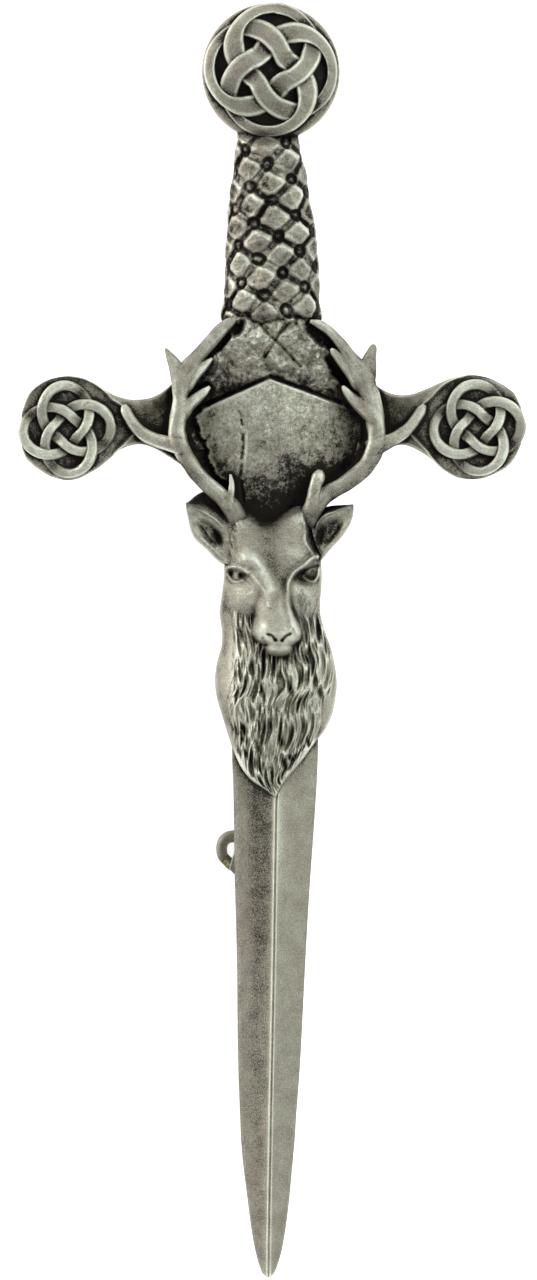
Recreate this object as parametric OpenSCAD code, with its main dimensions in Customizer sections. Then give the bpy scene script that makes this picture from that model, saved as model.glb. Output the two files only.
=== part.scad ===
// Kilt pin: a flat-backed pewter casting in the form of a dirk with a stag's head on its
// cross guard, a spring pin on its back and a bent wire catch.
// Lengths are in millimetres. The pin lies on its back: X runs along the cross guard,
// +Y towards the pommel, +Z up out of the decorated face.

/* [Blade] */
// Length of the blade, from the middle of the cross guard to the point
blade_l = 69.9; // [64:0.5:84]
// Width of the blade where it leaves the mane
blade_w = 7.1; // [6.4:0.1:8]
// Height of the ridge above the flat back
blade_t = 2.7; // [2.2:0.1:3.2]
// Height of the two edges above the flat back
blade_edge_t = 0.9; // [0.6:0.1:1.3]
// Width of the narrow raised line along the ridge
ridge_w = 0.5; // [0.3:0.1:0.8]
// Height of that raised line above the two facets
ridge_rise = 0.14; // [0.08:0.02:0.3]
// How far the point drifts to the left of the blade's root
blade_lean = 0.92; // [0:0.02:1.6]

/* [Grip] */
// Length of the grip
grip_l = 16; // [14:0.5:22]
// Width of the grip at its widest, near its foot
grip_w = 7.9; // [7:0.1:9]
// Height of the half-round grip above the flat back
grip_t = 4.1; // [3.6:0.1:4.8]
// Distance from the middle of the cross guard up to the grip's foot
grip_foot = 8.5; // [7.5:0.1:10]
// Pitch of the pillow bosses that cover the grip
boss_pitch = 2.25; // [2:0.05:2.8]
// Height of the bosses above the grip
boss_rise = 0.42; // [0.3:0.02:0.6]
// Diameter of the small beads between the bosses
bead_d = 0.75; // [0.6:0.05:0.9]
// How far the grip's foot lies to the right of the pommel's middle line
grip_shift = 0.15; // [0:0.05:0.4]
// How far the grip leans to the left from its foot to its top
grip_lean = 0.4; // [0:0.05:0.8]

/* [Pommel] */
// Diameter of the round pommel
pommel_d = 11.5; // [10:0.1:13]
// Height of the pommel's rim above the flat back
pommel_t = 2.6; // [2.2:0.1:3.2]
// Rise of the pommel's dome above its rim
pommel_dome = 0.9; // [0.5:0.1:1.4]
// Width of the knot's strand on the pommel
pommel_strand_w = 1.35; // [1:0.05:1.6]

/* [Cross guard] */
// Width over the two round ends of the cross guard
guard_w = 41.9; // [38:0.1:48]
// Diameter of the round ends
disc_d = 8.3; // [7.4:0.1:9]
// Height of the round ends above the flat back
disc_t = 2.4; // [2:0.1:3]
// Width of the thin rim round each end
disc_rim_w = 0.4; // [0.3:0.05:0.6]
// Width of the waist of each arm
arm_w = 3.7; // [3:0.1:4.6]
// Height of the arms above the flat back
arm_t = 2.5; // [2:0.1:3]
// Width of the knot's strand on the round ends
disc_strand_w = 0.85; // [0.6:0.05:1]
// Height of the knots' strands above what they lie on
strand_rise = 0.65; // [0.4:0.05:0.9]
// How far a strand climbs or dips where two cross
strand_weave = 0.28; // [0.15:0.01:0.4]
// Bevel round the foot of the pommel and of the round ends
foot_bevel = 0.3; // [0.1:0.05:0.5]
// Depth of the floor inside the round ends' rims
disc_sink = 0.35; // [0.2:0.05:0.5]

/* [Panel] */
// Width of the five-sided panel between the antlers
panel_w = 14.2; // [12:0.1:16]
// Length of the panel, from its apex to the stag's forehead
panel_l = 11.4; // [10:0.1:13]
// Distance of the apex above the middle of the cross guard
panel_apex = 4; // [3:0.1:5]
// Height of the panel's face above the flat back
panel_t = 3.1; // [2.7:0.1:3.6]
// Height of the rough ground behind the panel and the antlers
ground_t = 2.5; // [2.2:0.1:2.7]

/* [Stag's head] */
// Distance from the middle of the cross guard down to the forehead
head_drop = 6.1; // [5.5:0.1:7]
// Length of the face, from the forehead to the chin
head_l = 12.7; // [11:0.1:14]
// Width of the face across the brows
head_w = 7.8; // [7:0.1:8.6]
// Height of the muzzle above the flat back
head_t = 7.4; // [6.4:0.1:8.4]
// How far the nose points to the right, because the head is turned
nose_turn = 0.6; // [0:0.05:1]
// How far the forehead's middle lies to the right of the middle line
face_shift = 0.1; // [0:0.05:0.4]
// Depth of the carved eye sockets
carve_depth = 0.65; // [0.4:0.05:0.8]
// Length of each ear
ear_l = 5.2; // [4:0.1:6]
// Width of each ear
ear_w = 2.7; // [2:0.1:3.4]
// Height of the ears' rims above the flat back
ear_t = 3.7; // [3.2:0.1:4.2]
// Depth of the hollow inside each ear
ear_cup = 1; // [0.6:0.05:1.2]

/* [Mane] */
// Width of the mane at its widest
mane_w = 10; // [9:0.1:11]
// Length of the neck and mane, from behind the brows to the lowest lock
mane_l = 20.4; // [18:0.1:23]
// Height of the mane below the chin, above the flat back
mane_t = 4.9; // [4.2:0.1:5.6]
// Depth of the grooves between the locks
lock_depth = 0.5; // [0.3:0.05:0.7]

/* [Antlers] */
// Reach of each antler's beam to the side of the head's middle
antler_w = 8.5; // [7.6:0.1:9.4]
// Rise of the antlers from the forehead to their upper tips
antler_l = 15.6; // [14:0.1:17]
// Diameter of the beams
beam_d = 1.1; // [0.9:0.05:1.3]
// Height of the beams' middle line above the flat back
antler_t = 3.2; // [2.9:0.1:3.6]

/* [Pin] */
// Diameter of the spring pin's stem
stem_d = 1.1; // [0.9:0.05:1.4]
// Clear height between the stem and the casting's back, for the cloth
cloth_gap = 2.3; // [1.8:0.1:2.8]
// Width of the block that carries the stem
block_w = 5; // [4:0.1:6]
// Length of that block
block_l = 6; // [5:0.1:7]
// How far the block's middle lies above the middle of the cross guard
block_up = 14.5; // [12:0.1:18]
// Length of the stem past the catch
stem_over = 2.4; // [1.5:0.1:4]

/* [Catch] */
// Diameter of the catch's wire
wire_d = 0.9; // [0.7:0.05:1.1]
// Distance of the wire's straight run below the middle of the cross guard
catch_down = 33.4; // [31:0.1:38]
// How far the wire's curl stands out past the blade's left edge
curl_out = 1.47; // [1.2:0.01:2]
// Radius of the curl, to the wire's middle
curl_r = 1.07; // [0.9:0.01:1.3]
// Clearance between the stem and the wire under it
stem_gap = 0.2; // [0.1:0.05:0.4]
// Thickness of the catch's flat pad
pad_t = 0.7; // [0.5:0.05:1]
// Width of the pad across the blade
pad_w = 5.6; // [5:0.1:5.8]
// Length of the pad along the blade
pad_l = 4.6; // [4:0.1:5.6]
// How far the pad's lower corner stands out past the blade's left edge
pad_out = 0.48; // [0:0.02:0.7]

/* [Hidden] */
PEWTER = [0.62, 0.61, 0.55];
STEEL = [0.72, 0.72, 0.7];
NICKEL = [0.62, 0.59, 0.48];

// Glue line between the casting's back and the fittings on it
glue_gap = 0.05;
back_z = wire_d + stem_gap + stem_d + cloth_gap;
pommel_y = grip_foot + grip_l + pommel_d * 0.42;
top_y = pommel_y + pommel_d / 2;
// The finished object is centred along Y between the pommel's top and the blade's point
centre_y = (top_y - blade_l) / 2;
disc_x = guard_w / 2 - disc_d / 2;
// Height of the spring pin's middle line
stem_z = wire_d + stem_gap + stem_d / 2;

// A number between two others, for a share from 0 to 1
function mix(a, b, share) = a + (b - a) * share;
// A smooth bump: 1 in the middle, 0.37 at the given distance from it
function bump(x, y, rx, ry) = exp(-(x * x) / (rx * rx) - (y * y) / (ry * ry));
// A column of a table, as pairs for lookup()
function column(rows, c) = [for (r = rows) [r[0], r[c]]];
function unit(v) = v / norm(v);

// Closed skin over rings of points; each ring runs anticlockwise about the way from the
// first ring to the last
module skin(rings) {
    n = len(rings[0]);
    last = (len(rings) - 1) * n;
    polyhedron(
        points = [for (r = rings) each r],
        faces = concat(
            [[for (j = [0:n - 1]) j]],
            [for (i = [0:len(rings) - 2], j = [0:n - 1])
                let (p = i * n + j, q = i * n + (j + 1) % n) [p, q + n, q]],
            [for (i = [0:len(rings) - 2], j = [0:n - 1])
                let (p = i * n + j, q = i * n + (j + 1) % n) [p, p + n, q + n]],
            [[for (j = [n - 1:-1:0]) last + j]]
        )
    );
}

// One section of a relief at a given y, its surface points listed from left to right as
// [x, z], closed down to the given floor
function relief_ring(y, surface, floor_z = 0) = let (n = len(surface)) concat(
    [[surface[n - 1][0], y, floor_z]],
    [for (k = [n - 1:-1:0]) [surface[k][0], y, surface[k][1]]],
    [[surface[0][0], y, floor_z]]
);

// A tapering round branch along a path of [x, y, z, radius], deeper than it is wide
module branch(path, sides = 6, depth = 1.25) {
    n = len(path);
    function place(i) = [path[i][0], path[i][1], path[i][2]];
    skin([for (i = [0:n - 1])
        let (
            t = unit(place(min(i + 1, n - 1)) - place(max(i - 1, 0))),
            side = unit(cross(t, [0, 0, 1])),
            up = cross(side, t) * depth
        )
        [for (k = [0:sides - 1]) let (a = 360 * k / sides)
            place(i) + path[i][3] * (side * cos(a) - up * sin(a))]
    ]);
}

// Blade sections: share of the length from the guard, share of the width, share of the height
BLADE_ROWS = [
    [0.05, 1.00, 1.00],
    [0.385, 1.00, 1.00],
    [0.47, 0.93, 1.00],
    [0.555, 0.845, 0.98],
    [0.64, 0.786, 0.95],
    [0.725, 0.73, 0.90],
    [0.81, 0.65, 0.84],
    [0.87, 0.57, 0.78],
    [0.92, 0.475, 0.70],
    [0.955, 0.37, 0.60],
    [0.98, 0.26, 0.50],
    [0.995, 0.13, 0.40],
    [1.00, 0.03, 0.34],
];
// The blade's middle line crosses the guard's at this share of its length
BLADE_CROSS = 0.72;
function blade_x(share) = blade_lean * (BLADE_CROSS - share);

module blade() {
    skin([for (r = BLADE_ROWS)
        let (
            half = blade_w * r[1] / 2,
            x = blade_x(r[0]),
            rim = min(ridge_w / 2, half * 0.4),
            facet = blade_edge_t + (blade_t - blade_edge_t) * r[2] * min(1, r[1] * 1.5),
            edge = blade_edge_t * mix(0.5, 1, r[1])
        )
        relief_ring(-blade_l * r[0], [
            [x - half, edge],
            [x - rim, facet * r[2]],
            [x, facet * r[2] + ridge_rise * r[1]],
            [x + rim, facet * r[2]],
            [x + half, edge],
        ])
    ]);
}

// Grip outline: share of the grip's length from its foot, share of its width
GRIP_ROWS = [
    [-0.10, 1.08],
    [0.00, 1.00],
    [0.14, 1.00],
    [0.35, 0.97],
    [0.55, 0.91],
    [0.75, 0.80],
    [0.92, 0.68],
    [1.10, 0.66],
];
GRIP_ARC = 6;
function grip_half(y) = grip_w / 2 * lookup((y - grip_foot) / grip_l, column(GRIP_ROWS, 1));
function grip_x(y) = grip_shift - grip_lean * (y - grip_foot) / grip_l;
function grip_high(y) = grip_t * mix(0.8, 1, grip_half(y) * 2 / grip_w);
// Point of the grip's surface at an angle from its crown, raised by a given height
function grip_point(y, angle, rise = 0) = [
    grip_x(y) + (grip_half(y) + rise) * sin(angle), y, (grip_high(y) + rise) * cos(angle)
];

// One place of the lattice of bosses: distance round the grip and distance along it
BOSS_TURN = -36;
// The bosses end at this angle from the grip's crown
BOSS_LIMIT = 74;
function boss_place(i, j) = boss_pitch * [
    i * cos(BOSS_TURN) - j * sin(BOSS_TURN), i * sin(BOSS_TURN) + j * cos(BOSS_TURN)
];

// Puts a child on the grip's surface, its +Z outwards
module on_grip(round_way, along) {
    y = grip_foot + along;
    angle = 90 * round_way / (grip_half(y) * 1.55);
    if (along > boss_pitch * 0.13 && along < grip_l - boss_pitch * 0.18 && abs(angle) < BOSS_LIMIT)
        translate(grip_point(y, angle))
        rotate([0, angle, 0])
        children();
}

module boss() {
    rotate(45 + BOSS_TURN)
    hull() {
        cube([boss_pitch * 0.84, boss_pitch * 0.84, boss_rise * 0.7], center = true);
        translate([0, 0, boss_rise])
        cube([boss_pitch * 0.46, boss_pitch * 0.46, boss_rise * 0.05], center = true);
    }
}

module grip() {
    skin([for (r = [for (k = [len(GRIP_ROWS) - 1:-1:0]) GRIP_ROWS[k]])
        let (y = grip_foot + grip_l * r[0])
        relief_ring(y, [for (k = [-GRIP_ARC:GRIP_ARC]) let (p = grip_point(y, 90 * k / GRIP_ARC))
            [p[0], max(p[2], grip_t * 0.05)]])
    ]);
    // Bosses and beads, cut off level with the flat back
    intersection() {
        for (i = [-8:8], j = [-8:14]) {
            p = boss_place(i, j);
            on_grip(p[0], p[1]) rotate(-45) boss();
            q = boss_place(i + 0.5, j + 0.5);
            on_grip(q[0], q[1]) cylinder(d = bead_d, h = boss_rise * 0.8, $fn = 6);
        }
        translate([-grip_w, 0, 0]) cube([grip_w * 2, grip_foot + grip_l, grip_t * 2]);
    }
}

// Woven knot with three strands and four outer loops: the strand's radius swings about
// its mean while it runs three times round, over and under itself
KNOT_LOOPS = 4;
KNOT_TURNS = 3;
KNOT_STEP = 20;
function knot_xy(phi, mean_r, swing, turn) =
    let (r = mean_r + swing * cos(phi), a = turn - phi * KNOT_TURNS / KNOT_LOOPS)
    [r * cos(a), r * sin(a)];
// Section of the strand at phi; base_z(r) is the ground under it
function knot_ring(phi, reach, mean_share, turn, w, ground, dome, size = 1) =
    let (
        mean_r = reach * mean_share,
        swing = reach - mean_r,
        p = knot_xy(phi, mean_r, swing, turn),
        t = unit(knot_xy(phi + 1, mean_r, swing, turn) - knot_xy(phi - 1, mean_r, swing, turn)),
        side = [t[1], -t[0]],
        r = norm(p) / reach,
        bed = ground + dome * (1 - r * r),
        top = bed + strand_rise - strand_weave * sin(2 * phi),
        shoulder = top - w * 0.3,
        sink = bed - strand_rise * 0.77
    )
    [for (s = [
        [-0.5, sink], [-0.5, shoulder], [-0.22, top], [0.22, top], [0.5, shoulder], [0.5, sink]
    ]) [p[0] + side[0] * w * s[0] * size, p[1] + side[1] * w * s[0] * size, mix(sink + strand_rise * 0.15, s[1], size)]];

module knot(reach, mean_share, turn, w, ground, dome = 0) {
    // Each half swing is a solid whose tapered ends lie inside its neighbours
    steps = concat(
        [[-KNOT_STEP / 2, 0.6]],
        [for (step = [0:KNOT_STEP:180]) [step, 1]],
        [[180 + KNOT_STEP / 2, 0.6]]
    );
    for (half = [0:2 * KNOT_LOOPS - 1])
        skin([for (s = steps)
            knot_ring(180 * half + s[0], reach, mean_share, turn, w, ground, dome, s[1])]);
}

POMMEL_TURN = 87;
module pommel() {
    translate([0, pommel_y, 0]) {
        rotate_extrude($fn = 40)
            polygon([
                [0, 0],
                [pommel_d / 2 - foot_bevel * 0.7, 0],
                [pommel_d / 2, foot_bevel],
                [pommel_d / 2, pommel_t - foot_bevel * 1.3],
                [pommel_d / 2 - foot_bevel, pommel_t],
                [pommel_d * 0.33, pommel_t + pommel_dome * 0.5],
                [0, pommel_t + pommel_dome]
            ]);
        knot((pommel_d - pommel_strand_w * 1.15) / 2, 0.66, POMMEL_TURN, pommel_strand_w,
            pommel_t - foot_bevel * 0.7, pommel_dome);
    }
}

// Arm outline: share of the way from the disc's middle to the guard's, share of the waist
ARM_ROWS = [
    [0.17, 1.75],
    [0.22, 1.36],
    [0.28, 1.12],
    [0.34, 1.00],
    [0.40, 1.02],
    [0.46, 1.20],
    [0.53, 1.62],
    [0.58, 2.05],
    [0.66, 2.50],
];

module arm() {
    skin([for (r = ARM_ROWS)
        let (x = disc_x * (1 - r[0]), half = arm_w * r[1] / 2)
        [
            [x, -half, 0], [x, -half, arm_t * 0.45], [x, -half * 0.2, arm_t * 0.94],
            [x, half * 0.35, arm_t], [x, half, arm_t * 0.45], [x, half, 0]
        ]
    ]);
}

module guard_end() {
    translate([disc_x, 0, 0])
        rotate_extrude($fn = 36)
            polygon([
                [0, 0],
                [disc_d / 2 - foot_bevel * 0.7, 0],
                [disc_d / 2, foot_bevel],
                [disc_d / 2, disc_t],
                [disc_d / 2 - disc_rim_w * 0.5, disc_t + disc_rim_w * 0.5],
                [disc_d / 2 - disc_rim_w, disc_t],
                [disc_d / 2 - disc_rim_w * 1.25, disc_t - disc_sink],
                [0, disc_t - disc_sink]
            ]);
    arm();
}

DISC_TURN = 4;
module guard() {
    guard_end();
    mirror([1, 0, 0]) guard_end();
    // Both knots are woven the same way round
    for (x = [disc_x, -disc_x])
        translate([x, 0, 0])
            knot(disc_d / 2 - disc_rim_w * 0.6 - disc_strand_w / 2, 0.667, DISC_TURN, disc_strand_w,
                disc_t - disc_sink);
}

// Panel outline, clockwise from its apex: shares of its width and of its length
PANEL_POINTS = [
    [0.01, 0.00],
    [0.42, 0.18],
    [0.53, 0.42],
    [0.44, 0.64],
    [0.28, 1.05],
    [-0.28, 1.05],
    [-0.46, 0.64],
    [-0.47, 0.43],
    [-0.45, 0.22],
];
// Outline of the ground behind it: shares of the antlers' reach and of the grip foot's height
GROUND_POINTS = [
    [0.50, 1.10], [0.76, 0.76], [0.86, 0.44], [0.94, 0.00], [0.90, -0.30],
    [0.70, -0.52], [0.50, -0.80], [-0.50, -0.80], [-0.66, -0.52], [-0.86, -0.22],
    [-0.86, 0.30], [-0.78, 0.62], [-0.58, 0.90], [-0.50, 1.10],
];

module panel() {
    linear_extrude(panel_t)
        polygon([for (p = PANEL_POINTS) [panel_w * p[0], panel_apex - panel_l * p[1]]]);
    linear_extrude(ground_t)
        polygon([for (p = GROUND_POINTS) [antler_w * p[0], grip_foot * p[1]]]);
    // The slope that falls from the grip's foot to the ground behind the panel
    hull() {
        translate([0, grip_foot, grip_t * 0.4])
            cube([grip_w * 0.9, grip_w * 0.05, grip_t * 0.8], center = true);
        translate([0, panel_apex * 1.1, ground_t / 2])
            cube([panel_w * 0.72, grip_w * 0.05, ground_t], center = true);
    }
}

// Face sections from the forehead to the chin: share of the length, shares of the width to
// the left and to the right of the face's middle line, share of the height on that line,
// share of it at the sides, and how square the section is
FACE_ROWS = [
    [0.00, 0.30, 0.34, 0.50, 0.38, 1.6],
    [0.08, 0.36, 0.40, 0.62, 0.44, 1.6],
    [0.18, 0.42, 0.44, 0.70, 0.46, 1.6],
    [0.30, 0.47, 0.47, 0.76, 0.46, 1.5],
    [0.42, 0.50, 0.48, 0.80, 0.48, 1.3],
    [0.50, 0.50, 0.46, 0.83, 0.50, 1.2],
    [0.58, 0.46, 0.40, 0.87, 0.50, 1.2],
    [0.66, 0.39, 0.33, 0.91, 0.50, 1.4],
    [0.74, 0.33, 0.28, 0.95, 0.52, 1.8],
    [0.82, 0.30, 0.27, 1.00, 0.56, 2.2],
    [0.88, 0.29, 0.27, 0.99, 0.56, 2.2],
    [0.93, 0.24, 0.22, 0.88, 0.54, 2.0],
    [1.00, 0.14, 0.14, 0.66, 0.50, 1.8],
];
FACE_STEPS = 8;
EYE_DOWN = 0.47;
EYE_OUT = 0.40;
NOSTRIL_DOWN = 0.87;
MOUTH_DOWN = 0.93;
function face_x(share) = face_shift + nose_turn * share;
// Height of the carved features above the face's plain form, at a share of the width and
// a share of the length
function face_carving(w, l) = carve_depth * (
    0.85 * bump(abs(w) - EYE_OUT * 0.86, l - EYE_DOWN + 0.09, 0.10, 0.05)
    - bump(abs(w) - EYE_OUT * 0.76, l - EYE_DOWN, 0.09, 0.05)
    + 0.7 * bump(abs(w) - EYE_OUT * 0.86, l - EYE_DOWN, 0.045, 0.025)
    - 0.54 * bump(abs(w) - 0.09, l - NOSTRIL_DOWN, 0.05, 0.025)
    - 0.62 * bump(w, l - MOUTH_DOWN - 0.01, 0.2, 0.015)
    - 0.46 * bump(w, l - 0.12, 0.08, 0.12)
);

module face() {
    left = column(FACE_ROWS, 1);
    right = column(FACE_ROWS, 2);
    middle = column(FACE_ROWS, 3);
    side = column(FACE_ROWS, 4);
    power = column(FACE_ROWS, 5);
    skin([for (l = [0:0.05:1])
        relief_ring(-head_drop - head_l * l, [for (k = [-FACE_STEPS:FACE_STEPS])
            let (
                u = k / FACE_STEPS,
                w = u * lookup(l, u < 0 ? left : right),
                round_off = pow(abs(u), lookup(l, power) * 1.4),
                z = head_t * mix(lookup(l, middle), lookup(l, side), round_off)
            )
            [face_x(l) + head_w * w, z + face_carving(w, l)]])
    ]);
}

// Neck and mane sections: share of the length, left and right shares of the width,
// share of the height in the middle
MANE_ROWS = [
    [0.00, -0.34, 0.40, 0.80],
    [0.08, -0.39, 0.43, 0.90],
    [0.20, -0.42, 0.43, 0.96],
    [0.32, -0.43, 0.47, 0.98],
    [0.42, -0.47, 0.53, 1.00],
    [0.50, -0.48, 0.55, 1.00],
    [0.58, -0.47, 0.53, 0.98],
    [0.66, -0.42, 0.49, 0.96],
    [0.74, -0.37, 0.42, 0.93],
    [0.80, -0.34, 0.36, 0.90],
    [0.86, -0.28, 0.27, 0.86],
    [0.91, -0.20, 0.20, 0.82],
    [0.96, -0.10, 0.13, 0.77],
    [1.00, 0.02, 0.06, 0.70],
];
MANE_STEPS = 24;
MANE_SIDE = 0.42;
// The neck starts this share of the face's length below the forehead
NECK_START = 0.315;
// The mane's middle line lies this share of its width to the right of the guard's
MANE_SHIFT = 0.03;
// Locks across half the mane at its top, and how many fewer at its end
LOCKS = 5.5;
LOCKS_LOST = 1.5;
// Angle by which the locks swing from side to side as they run down
LOCK_SWING = 26;
// The locks' ridges across the mane, bent as they run down it
function lock_wave(u, l) =
    let (bend = LOCK_SWING * sin(l * 900 + 70 * u), fan = u * (LOCKS - LOCKS_LOST * l) * 180)
    0.5 * cos(fan + bend) + 0.3 * cos(fan * 1.7 - 2.3 * bend + 400 * l);

module mane() {
    left = column(MANE_ROWS, 1);
    right = column(MANE_ROWS, 2);
    middle = column(MANE_ROWS, 3);
    skin([for (l = [0:0.045:0.99])
        let (x0 = mane_w * lookup(l, left), x1 = mane_w * lookup(l, right))
        relief_ring(-head_drop - head_l * NECK_START - mane_l * l, [for (k = [0:MANE_STEPS])
            let (
                u = 2 * k / MANE_STEPS - 1,
                crown = lookup(l, middle) * mix(1, MANE_SIDE, pow(abs(u), 2.4)),
                fade = min(1, max(0, (l - 0.3) * 8)) * (1 - pow(abs(u), 6))
            )
            [mix(x0, x1, k / MANE_STEPS) + mane_w * MANE_SHIFT, mane_t * crown + lock_depth * fade * lock_wave(u, l)]])
    ]);
}

// Ear sections from its tip to its root: share of the length, half-width share of the
// width, how deep it is cupped
EAR_ROWS = [
    [0.00, 0.05, 0.0],
    [0.15, 0.27, 0.3],
    [0.35, 0.44, 0.7],
    [0.55, 0.50, 0.8],
    [0.75, 0.42, 0.6],
    [1.00, 0.26, 0.2],
];

// A cupped ear, its tip up along +Y and its root at the origin
module ear() {
    skin([for (r = EAR_ROWS)
        let (half = ear_w * r[1])
        relief_ring(ear_l * (1 - r[0]), [
            [-half, ear_t * 0.97], [-half * 0.6, ear_t * 1.03], [0, ear_t * 0.95 - ear_cup * r[2]],
            [half * 0.6, ear_t * 1.03], [half, ear_t * 0.97]
        ], ground_t * 0.8)
    ]);
}

// The ears' roots: share of the face's width, share of its length, and the turn of each ear
EARS = [[-0.41, 0.28, 66], [0.435, 0.30, -56]];

module ears() {
    for (e = EARS)
        translate([head_w * e[0], -head_drop - head_l * e[1], 0]) rotate(e[2]) ear();
}

// Antler branches: share of the reach to the side, share of the rise, share of the height,
// share of the beam's diameter
LEFT_ANTLER = [
    [[-0.22, -0.06, 0.90, 0.85], [-0.33, 0.00, 1.15, 0.80], [-0.44, 0.05, 1.18, 0.60], [-0.67, 0.17, 1.12, 0.50],
        [-0.85, 0.31, 1.05, 0.50], [-0.91, 0.38, 1.02, 0.52], [-0.89, 0.48, 1.00, 0.50],
        [-0.85, 0.59, 1.00, 0.46], [-0.83, 0.69, 0.98, 0.48], [-0.74, 0.78, 0.96, 0.42],
        [-0.60, 0.88, 0.94, 0.36], [-0.40, 0.98, 0.90, 0.14]],
    [[-0.90, 0.37, 1.00, 0.42], [-1.17, 0.44, 0.88, 0.38], [-1.42, 0.53, 0.74, 0.16]],
    [[-0.84, 0.68, 0.96, 0.42], [-0.91, 0.73, 0.94, 0.32], [-1.00, 0.82, 0.90, 0.12]],
    [[-0.86, 0.53, 0.98, 0.40], [-0.74, 0.58, 0.98, 0.32], [-0.61, 0.63, 0.94, 0.14]],
    [[-0.82, 0.67, 0.96, 0.40], [-0.72, 0.71, 0.96, 0.32], [-0.60, 0.76, 0.92, 0.14]],
    [[-0.42, 0.05, 1.18, 0.50], [-0.41, 0.12, 1.24, 0.38], [-0.37, 0.20, 1.20, 0.14]],
];
RIGHT_ANTLER = [
    [[0.22, -0.06, 0.90, 0.85], [0.34, 0.00, 1.15, 0.80], [0.45, 0.05, 1.18, 0.62], [0.73, 0.15, 1.12, 0.50],
        [0.93, 0.25, 1.05, 0.52], [1.01, 0.36, 1.02, 0.54], [1.00, 0.46, 1.00, 0.50],
        [0.97, 0.53, 1.00, 0.48], [0.93, 0.63, 0.98, 0.46], [0.88, 0.73, 0.96, 0.46],
        [0.77, 0.80, 0.95, 0.42], [0.68, 0.90, 0.93, 0.36], [0.43, 0.99, 0.90, 0.14]],
    [[1.01, 0.35, 1.00, 0.42], [1.16, 0.38, 0.90, 0.40], [1.46, 0.53, 0.74, 0.16]],
    [[0.92, 0.73, 0.96, 0.42], [0.94, 0.78, 0.94, 0.32], [0.96, 0.86, 0.90, 0.12]],
    [[0.86, 0.71, 0.98, 0.40], [0.73, 0.78, 0.97, 0.32], [0.58, 0.85, 0.93, 0.14]],
    [[0.92, 0.55, 0.98, 0.40], [0.80, 0.59, 0.98, 0.32], [0.70, 0.65, 0.94, 0.14]],
    [[0.43, 0.04, 1.18, 0.58], [0.45, 0.12, 1.28, 0.55], [0.47, 0.19, 1.26, 0.40]],
];

// The antlers' common middle lies this share of their reach to the right of the guard's, and
// their roots this share of their rise below the forehead
ANTLER_SHIFT = 0.0235;
ANTLER_SINK = 0.032;

module antler(branches) {
    for (b = branches)
        branch([for (r = b)
            [
                antler_w * (r[0] + ANTLER_SHIFT), -head_drop + antler_l * (r[1] - ANTLER_SINK),
                antler_t * r[2], beam_d * r[3]
            ]]);
}

// The whole cast body; everything from the flat back up is one piece of metal
module casting() {
    color(PEWTER)
    translate([0, -centre_y, back_z]) {
        blade();
        grip();
        pommel();
        guard();
        panel();
        mane();
        face();
        ears();
        antler(LEFT_ANTLER);
        antler(RIGHT_ANTLER);
    }
}

// Spring pin: a block on the grip's back with a straight stem that ends in a point
module pin() {
    color(STEEL)
    translate([0, block_up - centre_y, 0]) {
        translate([-block_w / 2, -block_l / 2, 0])
            cube([block_w, block_l, back_z - glue_gap]);
        stem_l = block_up + catch_down + stem_over;
        translate([0, 0, stem_z])
        rotate([90, 0, 0]) {
            cylinder(d = stem_d, h = stem_l, $fn = 32);
            translate([0, 0, stem_l])
                cylinder(d1 = stem_d, d2 = stem_d * 0.18, h = stem_d * 2.5, $fn = 32);
        }
    }
}

// Half the blade's width at a distance below the guard
function blade_half(down) = blade_w / 2 * lookup(down / blade_l, column(BLADE_ROWS, 1));

// Catch: a turned pad on the blade's back and a round wire that drops from it, runs under
// the stem and curls back beside the blade's left edge
PAD_TURN = -16;
module catch() {
    edge_x = blade_x(catch_down / blade_l) - blade_half(catch_down);
    curl_x = edge_x - curl_out + wire_d / 2 + curl_r;
    riser_x = stem_d / 2 + wire_d * 1.45;
    // The pad's lower left corner, as seen from its middle
    corner = [
        -pad_w / 2 * cos(PAD_TURN) + pad_l / 2 * sin(PAD_TURN),
        -pad_w / 2 * sin(PAD_TURN) - pad_l / 2 * cos(PAD_TURN)
    ];
    corner_y = -2 * curl_r - wire_d * 0.6;
    color(NICKEL)
    translate([0, -catch_down - centre_y, 0]) {
        translate([edge_x - pad_out - corner[0], corner_y - corner[1], back_z - glue_gap - pad_t])
        rotate(PAD_TURN)
        translate([-pad_w / 2, -pad_l / 2, 0])
            cube([pad_w, pad_l, pad_t]);
        // Straight run under the stem
        translate([curl_x, 0, wire_d / 2])
        rotate([0, 90, 0])
            cylinder(d = wire_d, h = riser_x - curl_x, $fn = 24);
        // The curl beside the blade's edge
        translate([curl_x, -curl_r, wire_d / 2])
        rotate(90)
        rotate_extrude(angle = 180, $fn = 32)
            translate([curl_r, 0]) circle(d = wire_d, $fn = 24);
        // The riser up to the pad, with a round bend below it
        translate([riser_x, 0, wire_d / 2]) {
            cylinder(d = wire_d, h = back_z - glue_gap - pad_t / 2 - wire_d / 2, $fn = 24);
            sphere(d = wire_d, $fn = 24);
        }
    }
}

casting();
pin();
catch();
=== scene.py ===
"""Looks of a cast kilt pin: a dirk with a stag's head on its cross guard.

Every shape is worked out in millimetres: x to the right along the cross guard, y up towards
the pommel and h, the height above the casting's flat back. Outlines that follow the
photograph are kept in pixels of its 537 x 1280 frame and turned into millimetres by
across() and along().
"""

import logging
import math
from dataclasses import dataclass
from enum import Enum

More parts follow.
